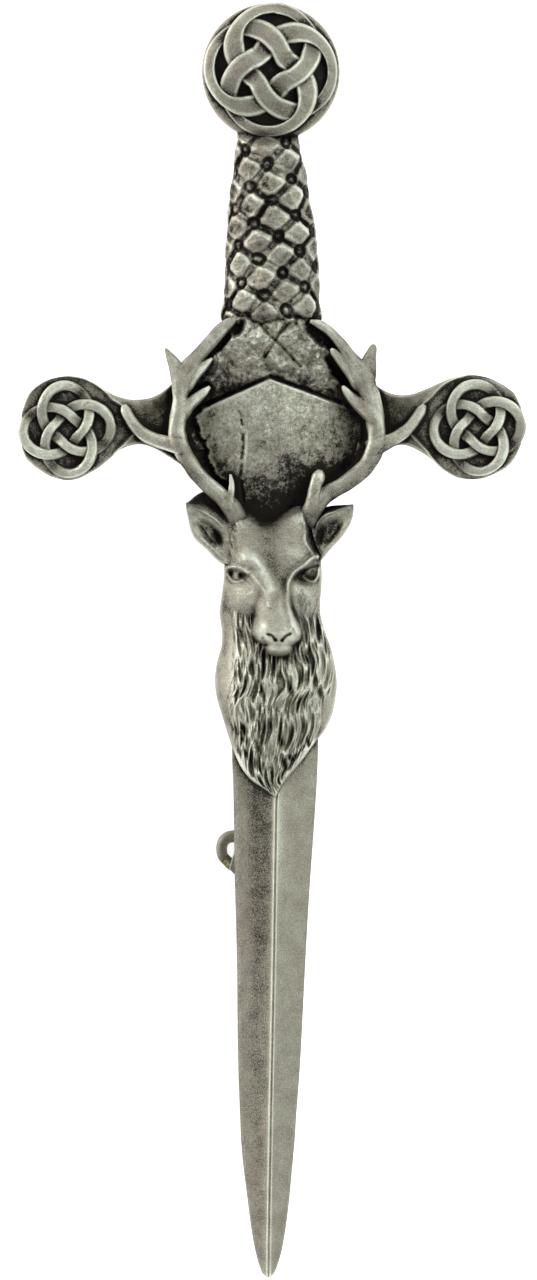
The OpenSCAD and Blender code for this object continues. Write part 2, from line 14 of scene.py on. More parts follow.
import bpy
import numpy as np
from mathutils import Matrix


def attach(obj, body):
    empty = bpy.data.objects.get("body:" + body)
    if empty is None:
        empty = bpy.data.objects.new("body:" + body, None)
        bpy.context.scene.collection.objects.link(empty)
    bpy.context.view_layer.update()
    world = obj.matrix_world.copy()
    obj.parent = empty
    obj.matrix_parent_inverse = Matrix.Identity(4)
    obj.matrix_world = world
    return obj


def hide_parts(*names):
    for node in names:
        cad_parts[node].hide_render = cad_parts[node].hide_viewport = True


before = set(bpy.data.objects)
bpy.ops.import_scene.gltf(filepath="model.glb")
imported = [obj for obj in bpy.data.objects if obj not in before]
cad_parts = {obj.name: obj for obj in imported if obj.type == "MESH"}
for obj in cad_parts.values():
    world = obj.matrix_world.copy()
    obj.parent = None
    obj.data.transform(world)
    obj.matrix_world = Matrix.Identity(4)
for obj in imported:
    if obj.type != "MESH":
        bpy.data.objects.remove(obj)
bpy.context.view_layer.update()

Array = np.ndarray
Points = tuple[tuple[float, ...], ...]
Pair = tuple[float, float]
Socket = bpy.types.NodeSocket
LOG = logging.getLogger("kilt_pin")

METRES = 0.001
PIXEL = 0.0823
MIDDLE_PX_X = 271.2
MIDDLE_PX_Y = 640.0
BACK_H = 4.5
BACK_STAIN = 0.1
BACK_STEP = 0.02
GUARD_Y = 17.41


def across(px: Array | float) -> Array:
    """Millimetres to the right of the object's middle for a column of the photograph."""
    return (np.asarray(px, float) - MIDDLE_PX_X) * PIXEL


def along(py: Array | float) -> Array:
    """Millimetres above the object's middle for a row of the photograph."""
    return (MIDDLE_PX_Y - np.asarray(py, float)) * PIXEL


def mix(a: Array | float, b: Array | float, share: Array | float) -> Array:
    """Straight blend from a to b."""
    return a + (b - a) * share


def smooth(low: float, high: float, value: Array) -> Array:
    """S-shaped rise from 0 at low to 1 at high."""
    t = np.clip((value - low) / (high - low), 0.0, 1.0)
    return t * t * (3.0 - 2.0 * t)


def bell(distance: Array, width: float) -> Array:
    """1 at no distance, 0.37 at the width."""
    return np.exp(-((distance / width) ** 2))


def higher(a: Array, b: Array, blend: float) -> Array:
    """The higher of two surfaces, with a rounded inside corner of the given size."""
    return 0.5 * (a + b + np.sqrt((a - b) ** 2 + blend * blend))


def spline(knots: Array, values: Array, at: Array) -> Array:
    """Smooth curve through a table.

    Between two knots it is the cubic that starts and ends on their values, with the slope of
    the line through each knot's neighbours.

    Args:
        knots: rising positions of the table's rows.
        values: the rows, one number or several each.
        at: positions to read, held inside the table's range.

    Returns:
        The values at those positions.
    """
    knots = np.asarray(knots, float)
    values = np.asarray(values, float)
    slopes = np.gradient(values, knots, axis=0)
    at = np.clip(np.asarray(at, float), knots[0], knots[-1])
    i = np.clip(np.searchsorted(knots, at, side="right") - 1, 0, len(knots) - 2)
    step = knots[i + 1] - knots[i]
    t = (at - knots[i]) / step
    if values.ndim > 1:
        step = step[..., None]
        t = t[..., None]
    start = values[i] * (1 + 2 * t) * (1 - t) ** 2 + slopes[i] * step * t * (1 - t) ** 2
    end = values[i + 1] * t * t * (3 - 2 * t) + slopes[i + 1] * step * t * t * (t - 1)
    return start + end


def curve(rows: Points, at: Array) -> Array:
    """Smooth curve through a table of (position, value) rows."""
    table = np.array(rows)
    return spline(table[:, 0], table[:, 1], at)


def sides(rows: Points, at: Array) -> tuple[Array, Array]:
    """Both edges at each place, from a table of (position, first edge, second edge) rows."""
    table = np.array(rows)
    return spline(table[:, 0], table[:, 1], at), spline(table[:, 0], table[:, 2], at)


def run(points: Points | Array, count: int) -> Array:
    """Smooth path through points, read at even steps of the distance along them.

    Args:
        points: the path's corners, two or more numbers each.
        count: how many places to read.

    Returns:
        The places, one row each.
    """
    points = np.asarray(points, float)
    steps = np.linalg.norm(np.diff(points[:, :2], axis=0), axis=1)
    knots = np.concatenate([[0.0], np.cumsum(steps)])
    return spline(knots, points, np.linspace(0.0, knots[-1], count))


def stroke(x: Array, y: Array, path: Points | Array, width: float) -> Array:
    """Soft ridge along a path: the bell of each place's distance to the nearest stretch.

    Args:
        x: first coordinates of the places.
        y: second coordinates of the places.
        path: corners of the path, in the same units.
        width: distance at which the ridge has fallen to 0.37.

    Returns:
        The ridge's share of its full height at each place.
    """
    path = run(path, 4 * len(path))
    nearest = np.full(np.broadcast(x, y).shape, 1e9)
    for (ax, ay), (bx, by) in zip(path[:-1, :2], path[1:, :2]):
        dx = bx - ax
        dy = by - ay
        t = np.clip(((x - ax) * dx + (y - ay) * dy) / (dx * dx + dy * dy), 0.0, 1.0)
        nearest = np.minimum(nearest, (x - ax - t * dx) ** 2 + (y - ay - t * dy) ** 2)
    return np.exp(-nearest / (width * width))


@dataclass(frozen=True)
class Line:
    """A soft ridge along a path, or a groove where its height is below 0."""

    height: float
    width_px: float
    path_px: Points

    def over(self, x: Array, y: Array) -> Array:
        """Its height at each place."""
        return self.height * stroke(x, y, self.path_px, self.width_px)


@dataclass(frozen=True)
class Bump:
    """A soft oval bump, or a dent where its height is below 0."""

    height: float
    centre_px: Pair
    reach_px: Pair

    def over(self, x: Array, y: Array) -> Array:
        """Its height at each place: a bell of the distance, as a share of its reach each way."""
        u = (x - self.centre_px[0]) / self.reach_px[0]
        v = (y - self.centre_px[1]) / self.reach_px[1]
        return self.height * np.exp(-(u ** 2) - v ** 2)


Marks = dict[str, Line | Bump]


def carve(marks: Marks, x: Array, y: Array) -> Array:
    """Sum of the marks' heights at each place."""
    return sum(mark.over(x, y) for mark in marks.values())


def mottle(x: Array, y: Array, size: float, seed: int) -> Array:
    """Smooth random field from -1 to 1: a table of random numbers, blended over its cells.

    Args:
        x: first coordinates.
        y: second coordinates.
        size: width of one cell.
        seed: number that picks the table.

    Returns:
        The field at each place.
    """
    table = np.random.default_rng(seed).uniform(-1.0, 1.0, (64, 64))
    gx = np.asarray(x, float) / size
    gy = np.asarray(y, float) / size
    ix = np.floor(gx).astype(int)
    iy = np.floor(gy).astype(int)
    fx = smooth(0.0, 1.0, gx - ix)
    fy = smooth(0.0, 1.0, gy - iy)
    low = mix(table[iy % 64, ix % 64], table[iy % 64, (ix + 1) % 64], fx)
    high = mix(table[(iy + 1) % 64, ix % 64], table[(iy + 1) % 64, (ix + 1) % 64], fx)
    return mix(low, high, fy)


def grit(x: Array, y: Array, size: float, seed: int) -> Array:
    """Rough field: three mottles of halving size and strength, each turned against the last.

    Args:
        x: first coordinates.
        y: second coordinates.
        size: width of the largest mottle's cells.
        seed: number that picks the tables.

    Returns:
        The field at each place, about -1 to 1.
    """
    total = np.zeros(np.broadcast(x, y).shape)
    for k in range(3):
        c = math.cos(0.6 + 1.1 * k)
        d = math.sin(0.6 + 1.1 * k)
        total += 0.62 ** k * mottle(c * x + d * y, c * y - d * x, size / 2 ** k, seed + k)
    return total


def oval(x: Array, y: Array, place: tuple[float, ...]) -> tuple[Array, Array, Array]:
    """Distances from an oval's middle, as shares of its half-lengths.

    Args:
        x: columns in pixels.
        y: rows in pixels.
        place: the oval's middle x and y, long and short half-lengths and turn in degrees.

    Returns:
        The share along the long axis, the one across it, and the length of both together.
    """
    cx, cy, long, short, turn = place
    c = math.cos(math.radians(turn))
    d = math.sin(math.radians(turn))
    a = ((x - cx) * c + (y - cy) * d) / long
    b = ((y - cy) * c - (x - cx) * d) / short
    return a, b, np.hypot(a, b)


def cells(a: Array, b: Array, seed: int) -> tuple[Array, Array]:
    """Irregular cells around scattered seeds, one seed to each unit square.

    Args:
        a: coordinate across the cells.
        b: coordinate along them.
        seed: number that picks the scatter.

    Returns:
        How much farther the second nearest seed is than the nearest, which is 0 on the
        borders between cells, and a random number from 0 to 1 for each cell.
    """
    table = np.random.default_rng(seed).random((3, 64, 64))
    ia = np.floor(a).astype(int)
    first = np.full(a.shape, 1e9)
    second = np.full(a.shape, 1e9)
    mark = np.zeros(a.shape)
    for da in (-1, 0, 1):
        ca = ia + da
        shifted = b + 0.5 * (ca % 2)
        ib = np.floor(shifted).astype(int)
        for db in (-1, 0, 1):
            cb = ib + db
            u = ca + 0.5 + 0.8 * (table[0, cb % 64, ca % 64] - 0.5)
            v = cb + 0.5 + 0.7 * (table[1, cb % 64, ca % 64] - 0.5)
            d = np.hypot(a - u, shifted - v)
            closer = d < first
            second = np.where(closer, first, np.minimum(second, d))
            mark = np.where(closer, table[2, cb % 64, ca % 64], mark)
            first = np.where(closer, d, first)
    return second - first, mark


@dataclass
class Skin:
    """A closed skin: points in millimetres, its faces, and how stained each point is, with painted shade and
    highlights mixed in.
    """

    points: Array
    quads: Array
    tris: Array
    stain_and_shading: Array

    def outward(self) -> "Skin":
        """Turns every face round if the enclosed volume comes out negative.

        Returns:
            This skin.
        """
        t = np.vstack([self.quads[:, :3], self.quads[:, [0, 2, 3]], self.tris])
        a, b, c = (self.points[t[:, k]] for k in range(3))
        if np.einsum("ij,ij->", a, np.cross(b, c)) < 0:
            self.quads = self.quads[:, ::-1]
            self.tris = self.tris[:, ::-1]
        return self


def join(skins: list[Skin]) -> Skin:
    """Puts several skins into one, each with its own points.

    Args:
        skins: the skins.

    Returns:
        The joined skin.
    """
    starts = np.cumsum([0] + [len(s.points) for s in skins[:-1]])
    return Skin(
        np.vstack([s.points for s in skins]),
        np.vstack([s.quads + k for s, k in zip(skins, starts)]),
        np.vstack([s.tris + k for s, k in zip(skins, starts)]),
        np.concatenate([s.stain_and_shading for s in skins]),
    )


def loft(rings: Array, looped: bool = False, stain_and_shading: Array | None = None) -> Skin:
    """Closed skin over a stack of rings.

    Neighbouring places of neighbouring rings make a four-sided face. A skin that isn't looped
    is closed at each end by a fan to the middle of the end ring.

    Args:
        rings: places, as rings x places round x 3.
        looped: whether the last ring joins the first.
        stain_and_shading: how stained each place is, with painted shade and highlights mixed in, as rings x
            places round.

    Returns:
        The skin, with its faces outwards.
    """
    rows, places = rings.shape[:2]
    i = np.arange(rows if looped else rows - 1)[:, None]
    j = np.arange(places)[None, :]
    after = (i + 1) % rows
    beside = (j + 1) % places
    corners = [i * places + j, i * places + beside, after * places + beside, after * places + j]
    quads = np.stack(corners, axis=-1).reshape(-1, 4)
    points = rings.reshape(-1, 3)
    marks = np.zeros(rows * places) if stain_and_shading is None else stain_and_shading.reshape(-1)
    tris = np.zeros((0, 3), int)
    if not looped:
        points = np.vstack([points, rings[[0, -1]].mean(axis=1)])
        marks = np.concatenate([marks, marks[[0, -1]]])
        k = np.arange(places)
        near = np.stack([np.full(places, rows * places), (k + 1) % places, k], axis=1)
        last = (rows - 1) * places
        far = np.stack([np.full(places, rows * places + 1), last + k, last + (k + 1) % places], axis=1)
        tris = np.vstack([near, far])
    return Skin(points, quads, tris, marks).outward()


def relief(x: Array, y: Array, h: Array, foot: float = 0.0, stain_and_shading: Array | None = None) -> Skin:
    """Closes a carved sheet down to a flat back.

    Each row of the sheet becomes a ring: its places, then a place straight below each end.

    Args:
        x: millimetres to the right, rows x columns.
        y: millimetres up, rows x columns.
        h: height above the casting's back, rows x columns.
        foot: height of the flat back.
        stain_and_shading: how stained each place is, with painted shade and highlights mixed in.

    Returns:
        The closed skin.
    """
    sheet = np.stack(np.broadcast_arrays(x, y, h), axis=-1)
    ends = sheet[:, [-1, 0]].copy()
    ends[..., 2] = foot
    marks = None
    if stain_and_shading is not None:
        marks = np.hstack([stain_and_shading, np.full((len(stain_and_shading), 2), BACK_STAIN)])
    return loft(np.concatenate([sheet, ends], axis=1), stain_and_shading=marks)


def carried(path: Array, profile: Array, looped: bool = False) -> Skin:
    """Carries a profile along a path that lies in the plane of the back.

    At each place the profile's first number goes to the side of the path and its second one
    is the height above the back.

    Args:
        path: places (x, y) along the path.
        profile: places x points of the profile x 2.
        looped: whether the path's end joins its start.

    Returns:
        The closed skin.
    """
    if looped:
        way = np.roll(path, -1, axis=0) - np.roll(path, 1, axis=0)
    else:
        way = np.gradient(path, axis=0)
    way /= np.linalg.norm(way, axis=1, keepdims=True)
    side = np.stack([way[:, 1], -way[:, 0]], axis=1)
    flat = path[:, None, :] + side[:, None, :] * profile[..., :1]
    return loft(np.concatenate([flat, profile[..., 1:]], axis=-1), looped)


def tube(path: Array, radius: Array, around: int) -> Skin:
    """Round tube along a path in space: a circle square to the path at each of its places.

    Args:
        path: places along the middle of the tube.
        radius: its radius at each place.
        around: how many points go round.

    Returns:
        The closed skin.
    """
    way = np.gradient(path, axis=0)
    way /= np.linalg.norm(way, axis=1, keepdims=True)
    steady = np.array([0.31, 0.17, 0.94])
    one = np.cross(way, steady)
    one /= np.linalg.norm(one, axis=1, keepdims=True)
    two = np.cross(one, way)
    turn = np.linspace(0.0, 2 * math.pi, around, endpoint=False)
    ring = one[:, None] * np.cos(turn)[None, :, None] + two[:, None] * np.sin(turn)[None, :, None]
    return loft(path[:, None] + ring * np.broadcast_to(radius, len(path))[:, None, None])


def turned(profile: Points, centre: Pair, around: int) -> Skin:
    """Body of revolution about an upright line: a circle for each (radius, height) row.

    Args:
        profile: the rows, from the bottom up.
        centre: where the line stands.
        around: how many points go round.

    Returns:
        The closed skin.
    """
    rows = np.asarray(profile, float)
    turn = np.linspace(0.0, 2 * math.pi, around, endpoint=False)
    x = centre[0] + rows[:, :1] * np.cos(turn)
    y = centre[1] + rows[:, :1] * np.sin(turn)
    return loft(np.stack([x, y, np.broadcast_to(rows[:, 1:], x.shape)], axis=-1))


class Slot(Enum):
    """The record's material slots."""

    PEWTER = "pewter"
    STEEL = "steel"
    NICKEL = "nickel"


class Group:
    """A shader node group with named inputs and outputs, built once."""

    def __init__(self, name: str, inputs: dict[str, object], outputs: dict[str, str]) -> None:
        """Makes the group and its sockets.

        Args:
            name: the group's name.
            inputs: each input's name with its default number or colour.
            outputs: each output's name with its socket type.
        """
        self.tree = bpy.data.node_groups.new(name, "ShaderNodeTree")
        for label, value in inputs.items():
            if value is None:
                kind = "NodeSocketVector"
            elif isinstance(value, tuple):
                kind = "NodeSocketColor"
            else:
                kind = "NodeSocketFloat"
            socket = self.tree.interface.new_socket(label, in_out="INPUT", socket_type=kind)
            if value is not None:
                socket.default_value = value
        for label, kind in outputs.items():
            self.tree.interface.new_socket(label, in_out="OUTPUT", socket_type=kind)
        self.source = self.tree.nodes.new("NodeGroupInput")
        self.sink = self.tree.nodes.new("NodeGroupOutput")


class Wiring:
    """Adds nodes to a tree and joins them."""

    def __init__(self, tree: bpy.types.NodeTree) -> None:
        """Keeps the tree that the nodes go into."""
        self.tree = tree

    def put(self, target: Socket, value: object) -> None:
        """Joins a socket to a target, or sets the target's own value.

        Args:
            target: the socket that takes the value.
            value: another socket, a number or a colour.
        """
        if isinstance(value, Socket):
            self.tree.links.new(value, target)
        else:
            target.default_value = value

    def noise(self, vector: Socket, scale: object, detail: float, rough: float) -> Socket:
        """Noise from 0 to 1.

        Args:
            vector: where it is read.
            scale: how often it changes in a metre, a number or a socket.
            detail: how many finer layers it has.
            rough: how strong those are.

        Returns:
            The noise's socket.
        """
        node = self.tree.nodes.new("ShaderNodeTexNoise")
        self.put(node.inputs["Vector"], vector)
        self.put(node.inputs["Scale"], scale)
        node.inputs["Detail"].default_value = detail
        node.inputs["Roughness"].default_value = rough
        return node.outputs["Fac"]

    def sum(self, kind: str, a: object, b: object, c: object = None, held: bool = False) -> Socket:
        """One Math node.

        Args:
            kind: its operation.
            a: first number or socket.
            b: second one.
            c: third one, where the operation has it.
            held: whether the result stays between 0 and 1.

        Returns:
            The result's socket.
        """
        node = self.tree.nodes.new("ShaderNodeMath")
        node.operation = kind
        node.use_clamp = held
        self.put(node.inputs[0], a)
        self.put(node.inputs[1], b)
        if c is not None:
            self.put(node.inputs[2], c)
        return node.outputs[0]

    def ramp(self, value: Socket, low: float, high: float, start: float = 0.0, end: float = 1.0) -> Socket:
        """Smooth rise from start to end while the value goes from low to high.

        Args:
            value: the socket to read.
            low: value at the start.
            high: value at the end.
            start: result at low.
            end: result at high.

        Returns:
            The result's socket.
        """
        node = self.tree.nodes.new("ShaderNodeMapRange")
        node.interpolation_type = "SMOOTHSTEP"
        self.put(node.inputs["Value"], value)
        node.inputs["From Min"].default_value = low
        node.inputs["From Max"].default_value = high
        node.inputs["To Min"].default_value = start
        node.inputs["To Max"].default_value = end
        return node.outputs["Result"]

    def colour(self, share: Socket, a: object, b: object) -> Socket:
        """Blend of two colours.

        Args:
            share: 0 for the first colour, 1 for the second.
            a: first colour.
            b: second colour.

        Returns:
            The blend's socket.
        """
        node = self.tree.nodes.new("ShaderNodeMix")
        node.data_type = "RGBA"
        self.put(node.inputs[0], share)
        self.put(node.inputs[6], a)
        self.put(node.inputs[7], b)
        return node.outputs[2]


def cast_grain_group() -> bpy.types.NodeTree:
    """Grain of a sand-blasted casting: fine height, sparkle and slow clouds.

    Returns:
        The node group.
    """
    group = Group(
        "cast_grain",
        {"Vector": None, "Grain Scale": 9000.0, "Cloud Scale": 700.0},
        {"Height": "NodeSocketFloat", "Speckle": "NodeSocketFloat", "Clouds": "NodeSocketFloat"},
    )
    w = Wiring(group.tree)
    given = group.source.outputs
    fine = w.noise(given["Vector"], given["Grain Scale"], 3.0, 0.6)
    coarse = w.noise(given["Vector"], w.sum("MULTIPLY", given["Grain Scale"], 0.36), 2.0, 0.5)
    clouds = w.noise(given["Vector"], given["Cloud Scale"], 3.0, 0.55)
    w.put(group.sink.inputs["Height"], w.sum("MULTIPLY_ADD", coarse, 0.8, fine))
    w.put(group.sink.inputs["Speckle"], w.ramp(fine, 0.38, 0.66))
    w.put(group.sink.inputs["Clouds"], w.ramp(clouds, 0.3, 0.7))
    return group.tree


BLACK_LEVEL = -1.05
CLEAR_LEVEL = -0.2
DULL_LEVEL = -0.35
BARE_LEVEL = 1.0


def patina_group() -> bpy.types.NodeTree:
    """Antique patina: dark where a place is recessed, where it is stained and where it carries painted
    shade, bare and smoother where it is worn or given a painted highlight. Its level is the exposure
    less the staining and painted shading, broken up by the grain and the clouds.

    Returns:
        The node group.
    """
    group = Group(
        "antique_patina",
        {
            "Exposure": 0.0,
            "Stain and Shading": 0.0,
            "Speckle": 0.5,
            "Clouds": 0.5,
            "Bare": (0.5, 0.5, 0.45, 1.0),
            "Dull": (0.3, 0.29, 0.25, 1.0),
            "Patina": (0.03, 0.025, 0.022, 1.0),
            "Bare Roughness": 0.3,
            "Dull Roughness": 0.5,
        },
        {"Color": "NodeSocketColor", "Roughness": "NodeSocketFloat", "Metallic": "NodeSocketFloat"},
    )
    w = Wiring(group.tree)
    given = group.source.outputs
    clouded = w.sum("MULTIPLY_ADD", given["Clouds"], 0.22, -0.36)
    broken = w.sum("MULTIPLY_ADD", given["Speckle"], 0.5, clouded)
    level = w.sum("ADD", w.sum("SUBTRACT", given["Exposure"], given["Stain and Shading"]), broken)
    dark = w.ramp(level, BLACK_LEVEL, CLEAR_LEVEL, 1.0, 0.0)
    bright = w.ramp(level, DULL_LEVEL, BARE_LEVEL)
    metal = w.colour(bright, given["Dull"], given["Bare"])
    w.put(group.sink.inputs["Color"], w.colour(dark, metal, given["Patina"]))
    smoother = w.sum("SUBTRACT", given["Bare Roughness"], given["Dull Roughness"])
    worn = w.sum("MULTIPLY_ADD", bright, smoother, given["Dull Roughness"])
    w.put(group.sink.inputs["Roughness"], w.sum("MULTIPLY_ADD", dark, 0.15, worn, held=True))
    w.put(group.sink.inputs["Metallic"], w.sum("MULTIPLY_ADD", dark, -0.35, 1.0, held=True))
    return group.tree


@dataclass(frozen=True)
class MetalFinish:
    """A cast or drawn metal with patina in its recesses."""

    name: str
    bare: tuple[float, float, float, float]
    dull: tuple[float, float, float, float]
    patina: tuple[float, float, float, float]
    bare_roughness: float
    dull_roughness: float
    grain_scale: float
    cloud_scale: float
    grain_height: float
    lift: float = 0.0

    def build(self, grain: bpy.types.NodeTree, patina: bpy.types.NodeTree) -> bpy.types.Material:
        """Makes the material.

        Args:
            grain: the shared grain group.
            patina: the shared patina group.

        Returns:
            The material, reading Object coordinates and the piece's exposure and its staining with painted
            shade and highlights.
        """
        material = bpy.data.materials.new(self.name)
        material.use_nodes = True
        tree = material.node_tree
        tree.nodes.clear()
        w = Wiring(tree)
        place = tree.nodes.new("ShaderNodeTexCoord").outputs["Object"]
        exposure = tree.nodes.new("ShaderNodeAttribute")
        exposure.attribute_name = "exposure"
        stain_and_shading = tree.nodes.new("ShaderNodeAttribute")
        stain_and_shading.attribute_name = "stain_and_shading"
        surface = tree.nodes.new("ShaderNodeGroup")
        surface.node_tree = grain
        w.put(surface.inputs["Vector"], place)
        w.put(surface.inputs["Grain Scale"], self.grain_scale)
        w.put(surface.inputs["Cloud Scale"], self.cloud_scale)
        look = tree.nodes.new("ShaderNodeGroup")
        look.node_tree = patina
        w.put(look.inputs["Exposure"], w.sum("ADD", exposure.outputs["Fac"], self.lift))
        w.put(look.inputs["Stain and Shading"], stain_and_shading.outputs["Fac"])
        w.put(look.inputs["Speckle"], surface.outputs["Speckle"])
        w.put(look.inputs["Clouds"], surface.outputs["Clouds"])
        w.put(look.inputs["Bare"], self.bare)
        w.put(look.inputs["Dull"], self.dull)
        w.put(look.inputs["Patina"], self.patina)
        w.put(look.inputs["Bare Roughness"], self.bare_roughness)
        w.put(look.inputs["Dull Roughness"], self.dull_roughness)
        bump = tree.nodes.new("ShaderNodeBump")
        bump.inputs["Strength"].default_value = 1.0
        bump.inputs["Distance"].default_value = self.grain_height * METRES
        w.put(bump.inputs["Height"], surface.outputs["Height"])
        shader = tree.nodes.new("ShaderNodeBsdfPrincipled")
        w.put(shader.inputs["Base Color"], look.outputs["Color"])
        w.put(shader.inputs["Roughness"], look.outputs["Roughness"])
        w.put(shader.inputs["Metallic"], look.outputs["Metallic"])
        w.put(shader.inputs["Normal"], bump.outputs["Normal"])
        out = tree.nodes.new("ShaderNodeOutputMaterial")
        w.put(out.inputs["Surface"], shader.outputs["BSDF"])
        return material


PEWTER = MetalFinish(
    name="antiqued_pewter",
    bare=(0.72, 0.73, 0.62, 1.0),
    dull=(0.345, 0.32, 0.262, 1.0),
    patina=(0.018, 0.013, 0.01, 1.0),
    bare_roughness=0.37,
    dull_roughness=0.54,
    grain_scale=10000.0,
    cloud_scale=700.0,
    grain_height=0.05,
)
STEEL = MetalFinish(
    name="drawn_steel",
    bare=(0.36, 0.36, 0.35, 1.0),
    dull=(0.22, 0.22, 0.21, 1.0),
    patina=(0.12, 0.11, 0.1, 1.0),
    bare_roughness=0.29,
    dull_roughness=0.4,
    grain_scale=6000.0,
    cloud_scale=500.0,
    grain_height=0.004,
    lift=0.7,
)
NICKEL = MetalFinish(
    name="worn_nickel",
    bare=(0.44, 0.45, 0.45, 1.0),
    dull=(0.3, 0.28, 0.21, 1.0),
    patina=(0.09, 0.07, 0.01, 1.0),
    bare_roughness=0.6,
    dull_roughness=0.6,
    grain_scale=6000.0,
    cloud_scale=900.0,
    grain_height=0.006,
    lift=0.35,
)


@dataclass
class Blade:
    """The dirk's blade: two hollow facets that meet in a fine double ridge."""

    rows_px: Points = (
        (735, 232, 318.5), (757, 232, 318), (780, 233, 317), (828, 234, 314), (876, 234.6, 310.6),
        (924, 236, 307.6), (972, 237, 305), (1020, 237.4, 302.6), (1068, 238.2, 300),
        (1116, 240, 296.4), (1140, 241, 294.9), (1164, 243, 292.7), (1188, 246, 290.5),
        (1212, 249, 288), (1236, 252.4, 284.6), (1256, 256.4, 280.6), (1268, 260, 276.8),
        (1275, 263.2, 273.4), (1278.3, 267.2, 269.8),
    )
    ridge_px: Points = ((735, 277.6), (799, 276.6), (960, 274), (1140, 270.4), (1240, 268.9), (1278.3, 268.4))
    rows: int = 330
    facet_places: int = 22
    edge_h: float = 0.95
    ridge_h: float = 2.62
    line_gap: float = 0.122
    line_rise: float = 0.12
    line_places: tuple[float, ...] = (
        -2.2, -1.75, -1.35, -1.0, -0.65, -0.3, 0.0, 0.3, 0.65, 1.0, 1.35, 1.75, 2.2,
    )
    dark_fade_px: Pair = (840.0, 1180.0)
    lit_fade_px: Pair = (960.0, 820.0)

    def skin(self) -> Skin:
        """The blade's skin: height falls from the ridge to the edges, a little hollow, and two
        fine raised lines run along the ridge. The left facet carries painted shade, the outer edges
        are darkened with painted shade, and a painted highlight runs along the ridge.

        Returns:
            The closed skin.
        """
        y = np.linspace(self.rows_px[0][0], self.rows_px[-1][0], self.rows)
        left, right = (across(side)[:, None] for side in sides(self.rows_px, y))
        ridge = across(curve(self.ridge_px, y))[:, None]
        share = np.linspace(0.0, 1.0, self.facet_places) ** 0.8
        half = (right - left) / 2
        size = np.clip(half / half[0], 0.0, 1.0)
        line = np.clip(half * 0.35, 0.02, self.line_gap)
        fine = np.array(self.line_places)
        inner = fine[-1] * line
        x = np.hstack([
            left + (ridge - inner - left) * share[None, :-1],
            ridge + fine[None, :] * line,
            right - (right - ridge - inner) * share[None, -2::-1],
        ])
        u = np.where(x < ridge, (ridge - x) / (ridge - left), (x - ridge) / (right - ridge))
        top = self.ridge_h * mix(0.42, 1.0, smooth(0.0, 1.0, size) ** 0.8)
        edge = self.edge_h * mix(0.5, 1.0, size)
        hollow = np.where(x < ridge, 0.2, 0.1) * size * np.sin(np.pi * np.clip(u, 0, 1)) ** 1.4
        h = mix(top, edge, u) - hollow
        away = np.abs(x - ridge) / line
        h = h + self.line_rise * size * (bell(away - 1.05, 0.55) - 0.6 * bell(away, 0.5))
        round_edge = 0.08 * size * smooth(0.93, 1.0, u) ** 2
        yy = np.broadcast_to(along(y)[:, None], x.shape)
        h = h - round_edge + 0.012 * mottle(x, yy, 0.9, 3) * size + 0.006 * mottle(x, yy, 0.25, 4) * size
        # Painted shade over the left facet, deepest near the guard.
        band = smooth(0.84, 0.4, u) * smooth(0.03, 0.14, u) * (x < ridge)
        patchy = 0.95 + 0.1 * mottle(x, yy, 1.3, 8)
        stain_and_shading = band * mix(0.5, 0.2, smooth(*self.dark_fade_px, y))[:, None] * patchy
        near = np.abs(x - ridge)
        # Painted shade: the left facet is darker than the right, and both outer edges are darker.
        stain_and_shading = stain_and_shading + np.where(x < ridge, 0.2, 0.12) + 0.2 * smooth(0.94, 1.0, u)
        # Painted highlight along the ridge, stronger on the right facet near the guard.
        lit = np.where(x < ridge, 0.25, 0.55 * smooth(*self.lit_fade_px, y)[:, None])
        stain_and_shading = stain_and_shading - lit * bell(near, 0.55)
        stain_and_shading = stain_and_shading + 0.5 * bell(away, 0.5) - 0.8 * bell(away - 1.15, 0.5)
        return relief(x, yy, h, stain_and_shading=stain_and_shading)


